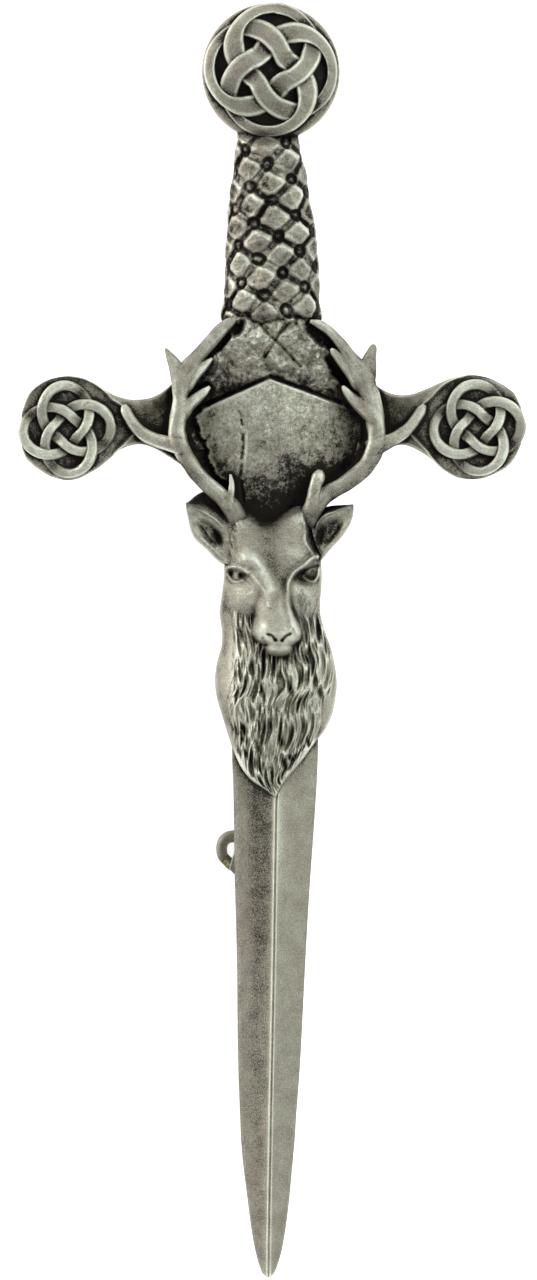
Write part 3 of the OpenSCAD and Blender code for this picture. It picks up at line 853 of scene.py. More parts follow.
@dataclass
class Guard:
    """The cross guard: two flat round ends whose sunk floors run out to a point on the arms."""

    left_px: Points = (
        (21.5, 413, 447), (24, 405, 454), (32, 390, 464), (40, 384, 470), (48, 380, 475),
        (56, 377.6, 478), (68, 376, 480), (80, 377, 477.5), (88, 380, 473.5), (96, 384, 469),
        (104, 389, 463), (112, 394, 456), (120, 397, 449.5), (128, 399, 446), (140, 399.3, 444),
        (152, 397, 447), (160, 393, 451), (168, 387, 456), (182, 376, 465), (200, 368, 476),
    )
    right_px: Points = (
        (344, 366, 480), (360, 374, 470), (372, 382, 462), (380, 387.6, 455), (388, 392, 450),
        (396, 394.4, 445.5), (404, 395, 444.6), (412, 394, 447), (420, 391.4, 451), (428, 388, 456),
        (436, 384.4, 463), (444, 381, 470), (452, 378, 475), (464, 375.6, 478.5), (476, 375.2, 479),
        (488, 377.6, 476.6), (500, 383, 471), (508, 388, 466), (516, 396, 456), (521.5, 407, 444),
    )
    left_centre: Pair = (67.6, 429.0)
    right_centre: Pair = (475.5, 427.5)
    floor_radius: float = 52.0
    left_spear: Points = ((88, 386), (121, 406), (137, 430), (96, 470))
    right_spear: Points = ((448, 384), (424, 405), (409, 431), (446, 468))
    columns: int = 300
    places: int = 90
    top_h: float = 2.55
    floor_h: float = 1.95
    waist_px: Pair = (56.0, 84.0)
    rim_line_px: Pair = (44.0, 54.0)
    knot_edge_px: Pair = (34.0, 46.0)
    arm_start_px: Pair = (48.0, 60.0)

    def floor_distance(self, x: Array, y: Array, centre: Pair, spear: Points) -> Array:
        """Signed distance in pixels to the sunk floor, negative inside it: the nearer of the
        disc's own circle and the four-sided spear, each side a half plane.

        Args:
            x: columns in pixels.
            y: rows in pixels.
            centre: the round end's middle.
            spear: corners of the floor on the arm.

        Returns:
            The distance at each place.
        """
        disc = np.hypot(x - centre[0], y - centre[1]) - self.floor_radius
        corners = np.array(spear, float)
        middle = corners.mean(axis=0)
        reach = np.full(x.shape, -1e9)
        for (ax, ay), (bx, by) in zip(corners, np.roll(corners, -1, axis=0)):
            nx = by - ay
            ny = ax - bx
            size = math.hypot(nx, ny)
            sign = -1.0 if (middle[0] - ax) * nx + (middle[1] - ay) * ny > 0 else 1.0
            reach = np.maximum(reach, sign * ((x - ax) * nx + (y - ay) * ny) / size)
        return np.minimum(disc, reach)

    def half(self, rows: Points, centre: Pair, spear: Points, seed: int) -> Skin:
        """One arm with its round end.

        Args:
            rows: columns of the outline, as x, top and bottom.
            centre: the round end's middle.
            spear: corners of the sunk floor on the arm.
            seed: picks the grain.

        Returns:
            The arm's skin.
        """
        even = np.linspace(0.0, 1.0, self.columns)
        outer_first = centre[0] < MIDDLE_PX_X
        spread = even ** 1.5 if outer_first else 1.0 - (1.0 - even) ** 1.5
        x = mix(rows[0][0], rows[-1][0], spread)
        top, bottom = (side[:, None] for side in sides(rows, x))
        s = np.linspace(-1.0, 1.0, self.places)
        t = 0.5 + 0.5 * np.sin(s * math.pi / 2) * (0.8 + 0.2 * np.abs(s))
        y = mix(bottom, top, t[None, :])
        xx = np.broadcast_to(x[:, None], y.shape)
        d = self.floor_distance(xx, y, centre, spear)
        rim = np.minimum(y - top, bottom - y)
        from_disc = np.hypot(xx - centre[0], y - centre[1])
        slope = self.top_h - 0.03 * np.clip(d, 0.0, 30.0)
        waist = smooth(*self.waist_px, from_disc)
        slope = slope - waist * (0.5 * smooth(2.0, 18.0, rim) + 0.3)
        sunk = smooth(1.2, -1.6, d)
        h = mix(slope, self.floor_h - 0.25 * waist, sunk)
        line = bell(d - 0.9, 1.2) * smooth(*self.rim_line_px, from_disc)
        h = h + 0.17 * line * (0.8 + 0.3 * mottle(xx, y, 7.0, seed + 1))
        h = h - 0.5 * smooth(3.2, 0.0, rim) ** 2
        h = h + 0.02 * mottle(xx, y, 6.0, seed) + 0.008 * mottle(xx, y, 2.0, seed + 2)
        outer_floor = smooth(*self.knot_edge_px, from_disc)
        stain_and_shading = sunk * mix(0.5, 0.24, outer_floor) + 0.1 * waist - 0.8 * line
        # Painted shade on the arms, out past the round ends.
        stain_and_shading = stain_and_shading + 0.14 * grit(xx, y, 5.0, seed + 5) + 0.24 * smooth(*self.arm_start_px, from_disc)
        return relief(across(xx), along(y), h, stain_and_shading=stain_and_shading)

    def skin(self) -> Skin:
        """Both halves of the guard.

        Returns:
            Both, as one skin.
        """
        left = self.half(self.left_px, self.left_centre, self.left_spear, 20)
        right = self.half(self.right_px, self.right_centre, self.right_spear, 30)
        return join([left, right])


@dataclass
class Knot:
    """A woven knot of one endless strand with four outer loops.

    Its radius swings about a mean while the strand runs three times round, slower where it is
    far out if the loops are to be lobes, and it climbs and dips where it crosses itself.
    """

    centre_px: Pair
    outer_px: float
    inner_px: float
    turn_deg: float
    width: float
    squareness: float
    ground: float
    dome: float
    rise: float
    weave: float
    lobe: float = 0.0
    inner_width: float = 1.0
    plateau: float = 0.0
    lip: float = 0.0
    stain_and_shading: float = -0.1
    wear_and_highlight: float = 0.35
    dive_stain: float = 0.9
    outer_squareness: float = 2.5
    outer_shoulder: float = 0.34
    steps: int = 560
    places: int = 13

    def skin(self) -> Skin:
        """The strand's skin: a rounded ribbon profile carried along the knot's line.

        Returns:
            The strand's skin.
        """
        phi = np.linspace(0.0, 8 * math.pi, self.steps, endpoint=False)
        mean = (self.outer_px + self.inner_px) / 2 * PIXEL
        swing = (self.outer_px - self.inner_px) / 2 * PIXEL
        reach = np.cos(phi)
        reach = reach + self.plateau * (1.0 - reach ** 2) * (1.0 + reach) / 2
        r = mean + swing * reach
        turn = math.radians(self.turn_deg) - 0.75 * phi + self.lobe * np.sin(phi)
        cx = across(self.centre_px[0])
        cy = along(self.centre_px[1])
        path = np.stack([cx + r * np.cos(turn), cy + r * np.sin(turn)], axis=1)
        bed = self.ground + self.dome * (1.0 - (r / (mean + swing)) ** 2)
        top = self.rise - self.weave * np.sin(2 * phi)
        s = np.sin(np.linspace(-0.5, 0.5, self.places) * math.pi)
        outer = smooth(0.2, 0.9, np.cos(phi))[:, None]
        power = mix(self.squareness, self.outer_squareness, outer)
        arch = (1.0 - np.abs(s) ** power) ** (1.0 / power)
        uneven = 1.0 + 0.08 * mottle(phi, phi * 0.0, 1.1, 41) + 0.04 * mottle(phi, phi * 0.0, 0.35, 43)
        broad = mix(1.0, self.inner_width, smooth(0.85, 0.0, np.cos(phi)))
        half = (self.width / 2 * uneven * broad)[:, None]
        side = half * np.concatenate([s, [1.0, -1.0]])
        shoulder = self.width * mix(0.3, self.outer_shoulder, outer)
        way = np.roll(path, -1, axis=0) - np.roll(path, 1, axis=0)
        way = way / np.linalg.norm(way, axis=1, keepdims=True)
        away_x = path[:, :1] + way[:, 1:] * side[:, :-2] - cx
        away_y = path[:, 1:] - way[:, :1] * side[:, :-2] - cy
        leaning = self.ground + self.dome * (1.0 - (np.hypot(away_x, away_y) / (mean + swing)) ** 2)
        height = leaning + top[:, None] - shoulder + shoulder * arch
        height = height + self.lip * bell(np.abs(s) - 0.86, 0.09)
        speckle = grit(path[:, :1] + 0.4 * s, path[:, 1:] - 0.4 * s, 0.5, 42)
        height = height + 0.035 * speckle
        sink = (bed - 0.45)[:, None]
        profile = np.stack([side, np.hstack([height, sink, sink])], axis=-1)
        ribbon = carried(path, profile, looped=True)
        dive = np.exp(-7.0 * (1.0 - np.sin(2 * phi)))
        # The strand's edges are lighter, as wear and as a painted highlight.
        wear_and_highlight = np.concatenate([self.wear_and_highlight * bell(np.abs(s) - 0.78, 0.14), [0.0, 0.0]])
        worn = np.hstack([0.14 * speckle, np.zeros((self.steps, 2))])
        ribbon.stain_and_shading = (self.stain_and_shading + self.dive_stain * dive[:, None] - wear_and_highlight + worn).reshape(-1)
        return ribbon


@dataclass
class Pommel:
    """The domed round pommel under its knot."""

    centre_px: Pair = (270.9, 71.5)
    radius: float = 5.68
    rim_h: float = 2.35
    dome: float = 0.8
    facets: int = 150

    def skin(self) -> Skin:
        """The body, turned: a rounded wall and a low dome.

        Returns:
            The body's skin.
        """
        r = self.radius
        wall = [(0.02, 0.0), (r - 0.35, 0.0), (r - 0.12, 0.12), (r, 0.45)]
        turn = np.linspace(0.0, math.pi / 2, 10)
        shoulder = [(r - 0.75 + 0.75 * math.cos(a), self.rim_h - 0.75 + 0.75 * math.sin(a)) for a in turn]
        share = np.linspace(1.0, 0.0, 30)[1:]
        dome = [((r - 0.75) * s + 0.005, self.rim_h + self.dome * (1 - s * s)) for s in share]
        cx = float(across(self.centre_px[0]))
        cy = float(along(self.centre_px[1]))
        body = turned(tuple(wall + shoulder + dome), (cx, cy), self.facets)
        x = body.points[:, 0] - cx
        y = body.points[:, 1] - cy
        inside = smooth(r - 0.5, r - 1.2, np.hypot(x, y)) * (body.points[:, 2] > self.rim_h - 0.1)
        body.points[:, 2] += inside * 0.05 * mottle(x, y, 0.45, 51)
        reach = (r - np.hypot(x, y)) / PIXEL
        body.stain_and_shading = 0.8 * smooth(8.0, 16.0, reach) * inside
        return body


@dataclass
class Grip:
    """The half-round grip covered with pillow bosses and beads in dimples."""

    rows_px: Points = (
        (128, 237, 298), (144, 235.5, 300), (156, 234, 303), (168, 232.5, 306), (180, 231, 308.5),
        (204, 227.6, 311.5), (228, 226, 316.4), (252, 224.6, 318.6), (276, 224, 320.4),
        (300, 223, 320.4), (322, 222, 321), (330, 231, 312), (338, 242, 302), (346, 254, 290),
    )
    pitch_a: Pair = (22.2, 14.6)
    pitch_b: Pair = (-17.6, 22.2)
    boss_px: Pair = (257.1, 241.5)
    crown_h: float = 3.75
    side_h: float = 0.9
    boss_rise: float = 0.7
    bead_radius: float = 3.6
    wrap_deg: float = 92.0
    top_end_px: Pair = (150.0, 130.0)
    foot_end_px: Pair = (308.0, 346.0)
    rows: int = 330
    places: int = 190

    def pillows(self, s: Array, y: Array) -> tuple[Array, Array]:
        """Bosses and beads over the unrolled grip.

        A boss is an eight-cornered block round each lattice place. Its top is the lower of two
        planes, tilted at random. A bead is a half ball in a dimple where four bosses meet.

        Args:
            s: pixels round the grip from its crown line.
            y: pixels down the photograph.

        Returns:
            Height in millimetres, and staining mixed with painted shade and highlights.
        """
        ax, ay = self.pitch_a
        bx, by = self.pitch_b
        size = ax * by - ay * bx
        dx = s - (self.boss_px[0] - MIDDLE_PX_X) + 2.2 * mottle(s, y, 17.0, 61)
        dy = y - self.boss_px[1] + 2.2 * mottle(s, y, 19.0, 62)
        a = (dx * by - dy * bx) / size
        b = (dy * ax - dx * ay) / size
        ia = np.round(a).astype(int)
        ib = np.round(b).astype(int)
        table = np.random.default_rng(63).uniform(-1.0, 1.0, (4, 32, 32))
        lift, tilt_a, tilt_b, plump = (t[ia % 32, ib % 32] for t in table)
        u = a - ia
        v = b - ib
        spread = np.maximum(np.maximum(np.abs(u), np.abs(v)), 0.6 * (np.abs(u) + np.abs(v)))
        edge = 0.43 + 0.02 * plump + 0.02 * grit(s, y, 9.0, 68)
        boss = smooth(edge + 0.02, edge - 0.05, spread)
        slant = 0.9 * (tilt_a * u + tilt_b * v)
        cut = 1.05 + 1.7 * (tilt_b * u - tilt_a * v)
        bevel = 1.1 - 3.4 * np.clip(spread - 0.25, 0.0, 1.0)
        facet = np.minimum(1.0 + 0.16 * lift + slant, cut + 0.2 * lift)
        facet = np.minimum(facet, bevel + 0.2 * plump + 0.6 * slant)
        height = self.boss_rise * boss * (facet + 0.07 * grit(s, y, 5.0, 66))
        ca = a - 0.5 - np.round(a - 0.5)
        cb = b - 0.5 - np.round(b - 0.5)
        off = np.hypot(ca * ax + cb * bx, ca * ay + cb * by)
        dimple = smooth(7.4, 5.4, off)
        height = mix(height, -0.12, dimple)
        filled = smooth(-0.1, 0.7, mottle(s, y, 12.0, 60)) * (1.0 - boss) * (1.0 - dimple)
        height = height + 0.3 * filled
        ball = np.sqrt(np.clip(1.0 - (off / self.bead_radius) ** 2, 0.0, 1.0))
        height = height + 0.26 * ball
        # Painted highlight along one bevel of each boss.
        lit_edge = bell(v + 0.29, 0.09) * smooth(0.34, 0.2, np.abs(u)) * (1.0 - dimple)
        wear_and_highlight = bell(spread - 0.31, 0.06)
        # Painted shade and light across each boss's top: a fixed slant the same on every boss, and one that
        # follows the way its top tilts; lift gives each boss its own tone.
        tilted = 0.7 * (tilt_a * u + tilt_b * v) - 0.2 * lift
        plane = 0.44 - 0.45 * wear_and_highlight + 0.3 * v - 0.2 * u + tilted + 0.16 * grit(s, y, 3.0, 67)
        stain_and_shading = 0.2 * (1.0 - boss) + 0.3 * dimple + boss * plane - 0.6 * lit_edge
        stain_and_shading = stain_and_shading + 0.6 * grit(s, y, 5.0, 69) * (1.0 - boss)
        return height, stain_and_shading

    def skin(self) -> Skin:
        """The grip: a half-round form wrapped in the bosses, from the pommel to its foot.

        Returns:
            The grip's skin.
        """
        y = np.linspace(self.rows_px[0][0], self.rows_px[-1][0], self.rows)
        left, right = (side[:, None] for side in sides(self.rows_px, y))
        middle = (left + right) / 2
        half = (right - left) / 2 - 1.4
        turn = np.linspace(-1.0, 1.0, self.places)[None, :] * math.radians(self.wrap_deg)
        s = turn * half * 0.92 + (middle - MIDDLE_PX_X)
        yy = np.broadcast_to(y[:, None], s.shape)
        rise, stain_and_shading = self.pillows(s, yy)
        fade = smooth(math.radians(self.wrap_deg), math.radians(70), np.abs(turn))
        rise = rise * mix(0.12, 1.0, fade) + 0.02 * mottle(s, yy, 3.6, 64) + 0.01 * mottle(s, yy, 1.5, 65)
        grow = half * PIXEL + 0.3 * np.maximum(rise, -0.1)
        x = across(middle) + grow * np.sin(turn)
        crown = self.crown_h * mix(0.84, 1.0, (half / half.max()))
        crown = crown - 1.7 * smooth(*self.top_end_px, yy) - 2.0 * smooth(*self.foot_end_px, yy)
        h = self.side_h + (crown - self.side_h + rise) * np.cos(turn).clip(0.0, 1.0)
        return relief(x, np.broadcast_to(along(y)[:, None], x.shape), h, stain_and_shading=stain_and_shading)


SLOPE_MARKS: Marks = {
    "falling_cut": Line(-0.26, 1.3, ((254, 309), (265, 330), (275, 340), (300, 366))),
    "rising_cut": Line(-0.26, 1.3, ((293, 319), (283, 330), (265, 357))),
}
PANEL_MARKS: Marks = {
    "left_scratch": Line(0.03, 2.0, ((243, 414), (226, 427), (209, 441))),
    "low_crack": Line(-0.1, 1.6, ((287, 458), (290, 478), (289, 497))),
    "raised_edge": Line(0.06, 2.2, ((203, 408), (270, 379.5), (329, 402.5))),
}


@dataclass
class Ground:
    """The rough ground between the antlers, with the slope below the grip and the panel."""

    rows_px: Points = (
        (313, 244, 300), (322, 232, 312), (334, 216, 330), (348, 201, 345), (364, 188, 358),
        (380, 181, 369), (400, 178, 374), (424, 177, 377), (446, 180, 375), (462, 188, 365),
        (478, 198, 350), (494, 211, 336), (512, 222, 322), (532, 226, 318),
    )
    panel_px: Points = (
        (270, 378.5), (329, 400), (345, 406), (357, 414), (359.5, 437), (354, 455), (344, 470),
        (322, 490), (318, 540), (236, 540), (232, 484), (216, 474), (206, 448), (197, 428), (198, 413),
        (203, 408),
    )
    pits_px: Points = (
        (238, 328, 9, 5.5, -50), (222, 343, 14, 3.6, -47), (205, 359, 9, 5, -52),
        (198, 392, 12, 6, -38), (323, 338, 20, 6.5, 40), (342, 374, 25, 6, 50), (360, 428, 11, 5, 85),
        (206, 407, 9, 3, -22),
    )
    long_cut_px: Points = ((241, 412), (243, 440), (241, 478), (244, 505))
    cut_side_from_px: Pair = (420.0, 440.0)
    roof_h: Points = (
        (313, 2.7), (321, 3.45), (332, 3.75), (345, 3.65), (360, 3.3), (375, 2.8), (390, 2.45),
        (420, 2.25), (532, 1.9),
    )
    plate_h: Points = ((378, 3.3), (400, 3.32), (440, 3.2), (480, 2.85), (505, 2.35), (532, 1.9))
    crest_px: Pair = (271.0, 336.0)
    blocks_px: Pair = (275.6, 337.8)
    block_pitch_px: float = 25.0
    swell_px: Pair = (262.0, 412.0)
    ragged_x_px: Pair = (285.0, 225.0)
    ragged_y_px: Pair = (402.0, 414.0)
    upper_y_px: Pair = (424.0, 404.0)
    left_x_px: Pair = (300.0, 262.0)
    dark_from_px: Pair = (262.0, 416.0)
    rows: int = 330
    places: int = 300

    def panel_distance(self, x: Array, y: Array) -> Array:
        """Signed distance in pixels to the panel's outline, negative inside.

        The nearest distance to its sides, with the sign from how often a line to the left
        crosses them.

        Args:
            x: columns in pixels.
            y: rows in pixels.

        Returns:
            The distance at each place.
        """
        corners = np.array(self.panel_px, float)
        nearest = np.full(x.shape, 1e9)
        crossings = np.zeros(x.shape, int)
        for (ax, ay), (bx, by) in zip(corners, np.roll(corners, -1, axis=0)):
            dx = bx - ax
            dy = by - ay
            t = np.clip(((x - ax) * dx + (y - ay) * dy) / (dx * dx + dy * dy), 0.0, 1.0)
            nearest = np.minimum(nearest, np.hypot(x - ax - t * dx, y - ay - t * dy))
            between = (ay > y) != (by > y)
            crossings += between & (x > ax + (y - ay) * dx / (dy if dy else 1e-9))
        return np.where(crossings % 2 == 1, -nearest, nearest)

    def skin(self) -> Skin:
        """The carved sheet, from the grip's foot down to below the forehead.

        The slope is a roof that falls away to both sides, with two crossing rows of blocks on
        its crest. The panel is a plate that stands up inside its outline. Both are roughened,
        pitted and cut. Staining gathers in what lies low, painted light makes the panel lighter
        towards its left, and the sheet grows darker towards the panel's foot.

        Returns:
            The sheet's skin.
        """
        y = np.linspace(self.rows_px[0][0], self.rows_px[-1][0], self.rows)
        left, right = (side[:, None] for side in sides(self.rows_px, y))
        x = mix(left, right, np.linspace(0.0, 1.0, self.places)[None, :])
        yy = np.broadcast_to(y[:, None], x.shape)
        crest_x, crest_y = self.crest_px
        out = np.abs(x - crest_x)
        h = np.maximum(curve(self.roof_h, yy) - 0.0009 * np.clip(out - 14.0, 0.0, 99.0) ** 1.75, 1.6)
        h = h + 0.16 * grit(x, yy, 11.0, 71) + 0.09 * grit(x, yy, 4.0, 81)
        pit = np.zeros(x.shape)
        for place in self.pits_px:
            reach = oval(x, yy, place)[2] + 0.12 * grit(x, yy, 7.0, 77)
            pit = np.maximum(pit, smooth(1.45, 0.5, reach))
        h = h - 1.0 * pit
        block_x, block_y = self.blocks_px
        p = ((x - block_x) * 0.759 - (yy - block_y) * 0.651) / self.block_pitch_px
        q = ((x - block_x) * 0.815 + (yy - block_y) * 0.579) / self.block_pitch_px
        near = bell(np.hypot(x - crest_x, 1.15 * (yy - crest_y)), 34.0)
        blocks = np.sqrt(np.abs(np.sin(math.pi * p) * np.sin(math.pi * q)))
        h = h + near * (0.34 * blocks - 0.16) + carve(SLOPE_MARKS, x, yy)
        ragged = smooth(*self.ragged_x_px, x) * smooth(*self.ragged_y_px, yy)
        d = self.panel_distance(x, yy) + 2.6 * ragged * grit(x, yy, 9.0, 79)
        swell_x, swell_y = self.swell_px
        plate = curve(self.plate_h, yy) - 0.0003 * (x - swell_x) ** 2 + 0.1 * bell(yy - swell_y, 34.0)
        plate = plate + 0.02 * mottle(x, yy, 14.0, 74) + 0.006 * mottle(x, yy, 2.2, 75)
        broken = smooth(-0.5, 0.4, grit(x, yy, 8.0, 72))
        long_cut = stroke(x, yy, self.long_cut_px, 1.9) * broken
        cut_side = stroke(x - 3.0, yy, self.long_cut_px, 1.3) * smooth(*self.cut_side_from_px, yy) * broken
        plate = plate - 0.2 * long_cut + 0.06 * cut_side + carve(PANEL_MARKS, x, yy)
        above = smooth(*self.upper_y_px, yy)
        groove = bell(d - 1.9, mix(3.0, 1.9, above)) * (0.8 + 0.4 * mottle(x, yy, 9.0, 76))
        h = np.where(d < 12, h - 0.4 * groove, h)
        h = mix(h, plate, smooth(1.0, -1.0, d))
        deep = smooth(-2.0, 6.0, d)
        worn = grit(x, yy, 12.0, 78)
        stain_and_shading = deep * (0.6 * pit + 0.06 - 0.34 * near + 0.42 * worn + 0.34 * smooth(24.0, 3.0, d))
        stain_and_shading = stain_and_shading + 0.2 * groove * (d > -1)
        # Painted light: the panel is lighter towards its left.
        stain_and_shading = stain_and_shading - (1.0 - deep) * (0.12 * smooth(*self.left_x_px, x) - 0.16 * worn)
        stain_and_shading = stain_and_shading + ragged * (0.55 * bell(d + 7.0, 6.0) * (0.7 + 0.5 * worn) - 0.4 * bell(d + 0.6, 1.2))
        stain_and_shading = stain_and_shading + (1.0 - deep) * (0.3 * long_cut - 0.5 * cut_side + 0.36 * grit(x, yy, 2.6, 70))
        stain_and_shading = stain_and_shading - 0.6 * bell(d + 1.4, 1.2) * above
        # Darker towards the panel's foot.
        dark_x, dark_y = self.dark_from_px
        fall = 0.16 * (x - dark_x) + 1.0 * (yy - dark_y)
        fall = fall + 6.0 * grit(x, yy, 18.0, 77) + 7.0 * grit(x, yy, 5.0, 82)
        stain_and_shading = stain_and_shading + 0.32 * smooth(5.0, 50.0, fall) + 0.9 * smooth(38.0, 96.0, fall)
        return relief(across(x), along(yy), h, stain_and_shading=stain_and_shading)


FACE_MARKS: Marks = {
    "left_forehead": Bump(0.25, (249, 558), (15, 12)),
    "right_forehead": Bump(0.45, (298, 555), (13, 11)),
    "left_brow": Line(0.42, 8.5, ((245, 559), (255, 564), (262, 575), (268, 588))),
    "left_nose_edge": Line(0.26, 3.0, ((247, 571), (256, 580), (262.6, 589), (267.6, 598), (269, 606))),
    "right_brow_and_nose_edge": Line(0.62, 2.4, (
        (318, 556), (313, 557.4), (304.5, 565), (294, 573), (288.6, 582), (288, 598), (292.6, 620),
        (297, 633),
    )),
    "middle_hollow": Line(-0.16, 6.0, ((270, 556), (275, 568), (279, 582), (279, 596))),
    "left_antler_foot": Bump(0.35, (237, 521), (8, 8)),
    "right_antler_foot": Bump(0.4, (300, 517), (8, 9)),
    "right_temple_edge": Line(0.34, 2.2, (
        (303, 512), (304, 521), (306, 530), (305.4, 538), (308, 546), (313, 553), (318, 557),
    )),
    "right_temple": Line(-0.5, 4.0, ((309.6, 512), (311.6, 524), (312, 538), (316, 548))),
    "left_socket": Bump(-0.8, (236, 575.5), (12.5, 6.6)),
    "right_socket": Bump(-1.15, (307, 576), (12, 8.5)),
    "left_eyeball": Bump(0.5, (236, 575.6), (7.2, 4.6)),
    "right_eyeball": Bump(0.75, (311.5, 572.4), (7.6, 5.6)),
    "left_upper_lid": Line(0.3, 1.9, ((226.4, 568.4), (231.6, 566.8), (239, 568), (248, 573))),
    "left_lower_lid": Line(0.26, 1.6, ((228, 574.6), (232, 580), (238, 581.8), (243, 580))),
    "right_lower_lid": Line(0.46, 1.6, (
        (303, 576.5), (307.4, 580.2), (313.4, 581.2), (317.4, 576), (318.6, 569),
    )),
    "right_lid_fold": Line(-0.3, 1.6, ((301, 573), (306, 570), (312, 567.4), (318, 565.6))),
    "left_pupil": Bump(-0.34, (231.4, 573.6), (2.0, 2.6)),
    "left_eye_corner": Bump(-0.34, (241.2, 575.8), (2.5, 2.2)),
    "right_pupil": Bump(-0.4, (312.6, 571.6), (2.6, 3.0)),
    "left_cheek": Bump(0.62, (244, 597), (14, 15)),
    "right_cheek": Bump(0.34, (311, 599), (9, 14)),
    "left_inner_cheek": Bump(0.3, (257, 596), (7, 12)),
    "left_muzzle_groove": Line(-0.12, 4.0, ((261, 594), (258, 602), (254, 612), (251.6, 622), (254, 638))),
    "right_muzzle_groove": Line(-0.22, 5.4, ((296, 580), (296, 598), (300.6, 618), (304.6, 634))),
    "left_nose_wing": Bump(0.28, (262, 624.6), (6.4, 9)),
    "right_nose_wing": Bump(0.2, (297, 627), (5.4, 9)),
    "left_nostril": Line(-0.4, 1.25, ((268, 634.4), (272, 635.6), (275.6, 640))),
    "right_nostril": Line(-0.4, 1.25, ((290, 634), (286, 636), (282, 640.4))),
    "left_nostril_end": Bump(-0.34, (275.8, 640), (2.8, 2.4)),
    "right_nostril_end": Bump(-0.3, (282, 640.4), (2.4, 2.2)),
    "mouth_corner": Line(-0.3, 1.8, ((263, 639), (266.6, 644.6))),
    "left_lip": Bump(0.22, (271.6, 649.6), (4.4, 3.6)),
    "right_lip": Bump(0.22, (287, 648.6), (4.6, 3.8)),
    "lip_middle": Bump(-0.12, (279, 646), (3.0, 5.0)),
}
# Painted light on the face and the mane's shoulders: painted highlights where a mark is positive, painted
# shade in the right temple where it is negative.
PAINTED_LIGHT_MARKS: Marks = {
    "left_brow": Line(1.9, 5.4, ((247, 553), (256, 561), (262, 571), (268, 580), (271, 588))),
    "left_antler_foot": Bump(1.0, (237, 520), (8, 8)),
    "right_antler_foot": Bump(1.0, (298, 517), (8, 8)),
    "right_temple": Line(-0.8, 4.5, ((310, 512), (312, 524), (312.6, 538), (316, 547))),
    "right_forehead": Bump(0.6, (292, 553), (9, 9)),
    "left_cheek": Bump(0.6, (250, 596), (11, 11)),
    "right_nose_edge": Line(1.5, 5.5, ((295, 584), (296.6, 600), (301, 618), (304.6, 632))),
    "right_shoulder": Line(0.9, 5.0, ((321, 664), (327, 682), (330, 700), (326, 724))),
    "left_shoulder": Line(0.9, 3.6, ((233, 632), (232.4, 652), (231, 672), (230, 692))),
}
# Painted highlight on the lower lip.
LIP_SHINE = Bump(1.3, (279, 649), (12, 5.5))
# Darker down the middle of the forehead.
BRIDGE_DARKENING = Line(0.42, 15.0, ((268, 530), (270, 556), (277, 584)))
CHIN_SHADOW = Bump(0.45, (279, 655), (27, 13))
UPPER_LEFT_SHADOW = Bump(0.15, (245, 632), (17, 26))
SMOOTH_LOCK = Bump(1.0, (272, 744), (9, 13))


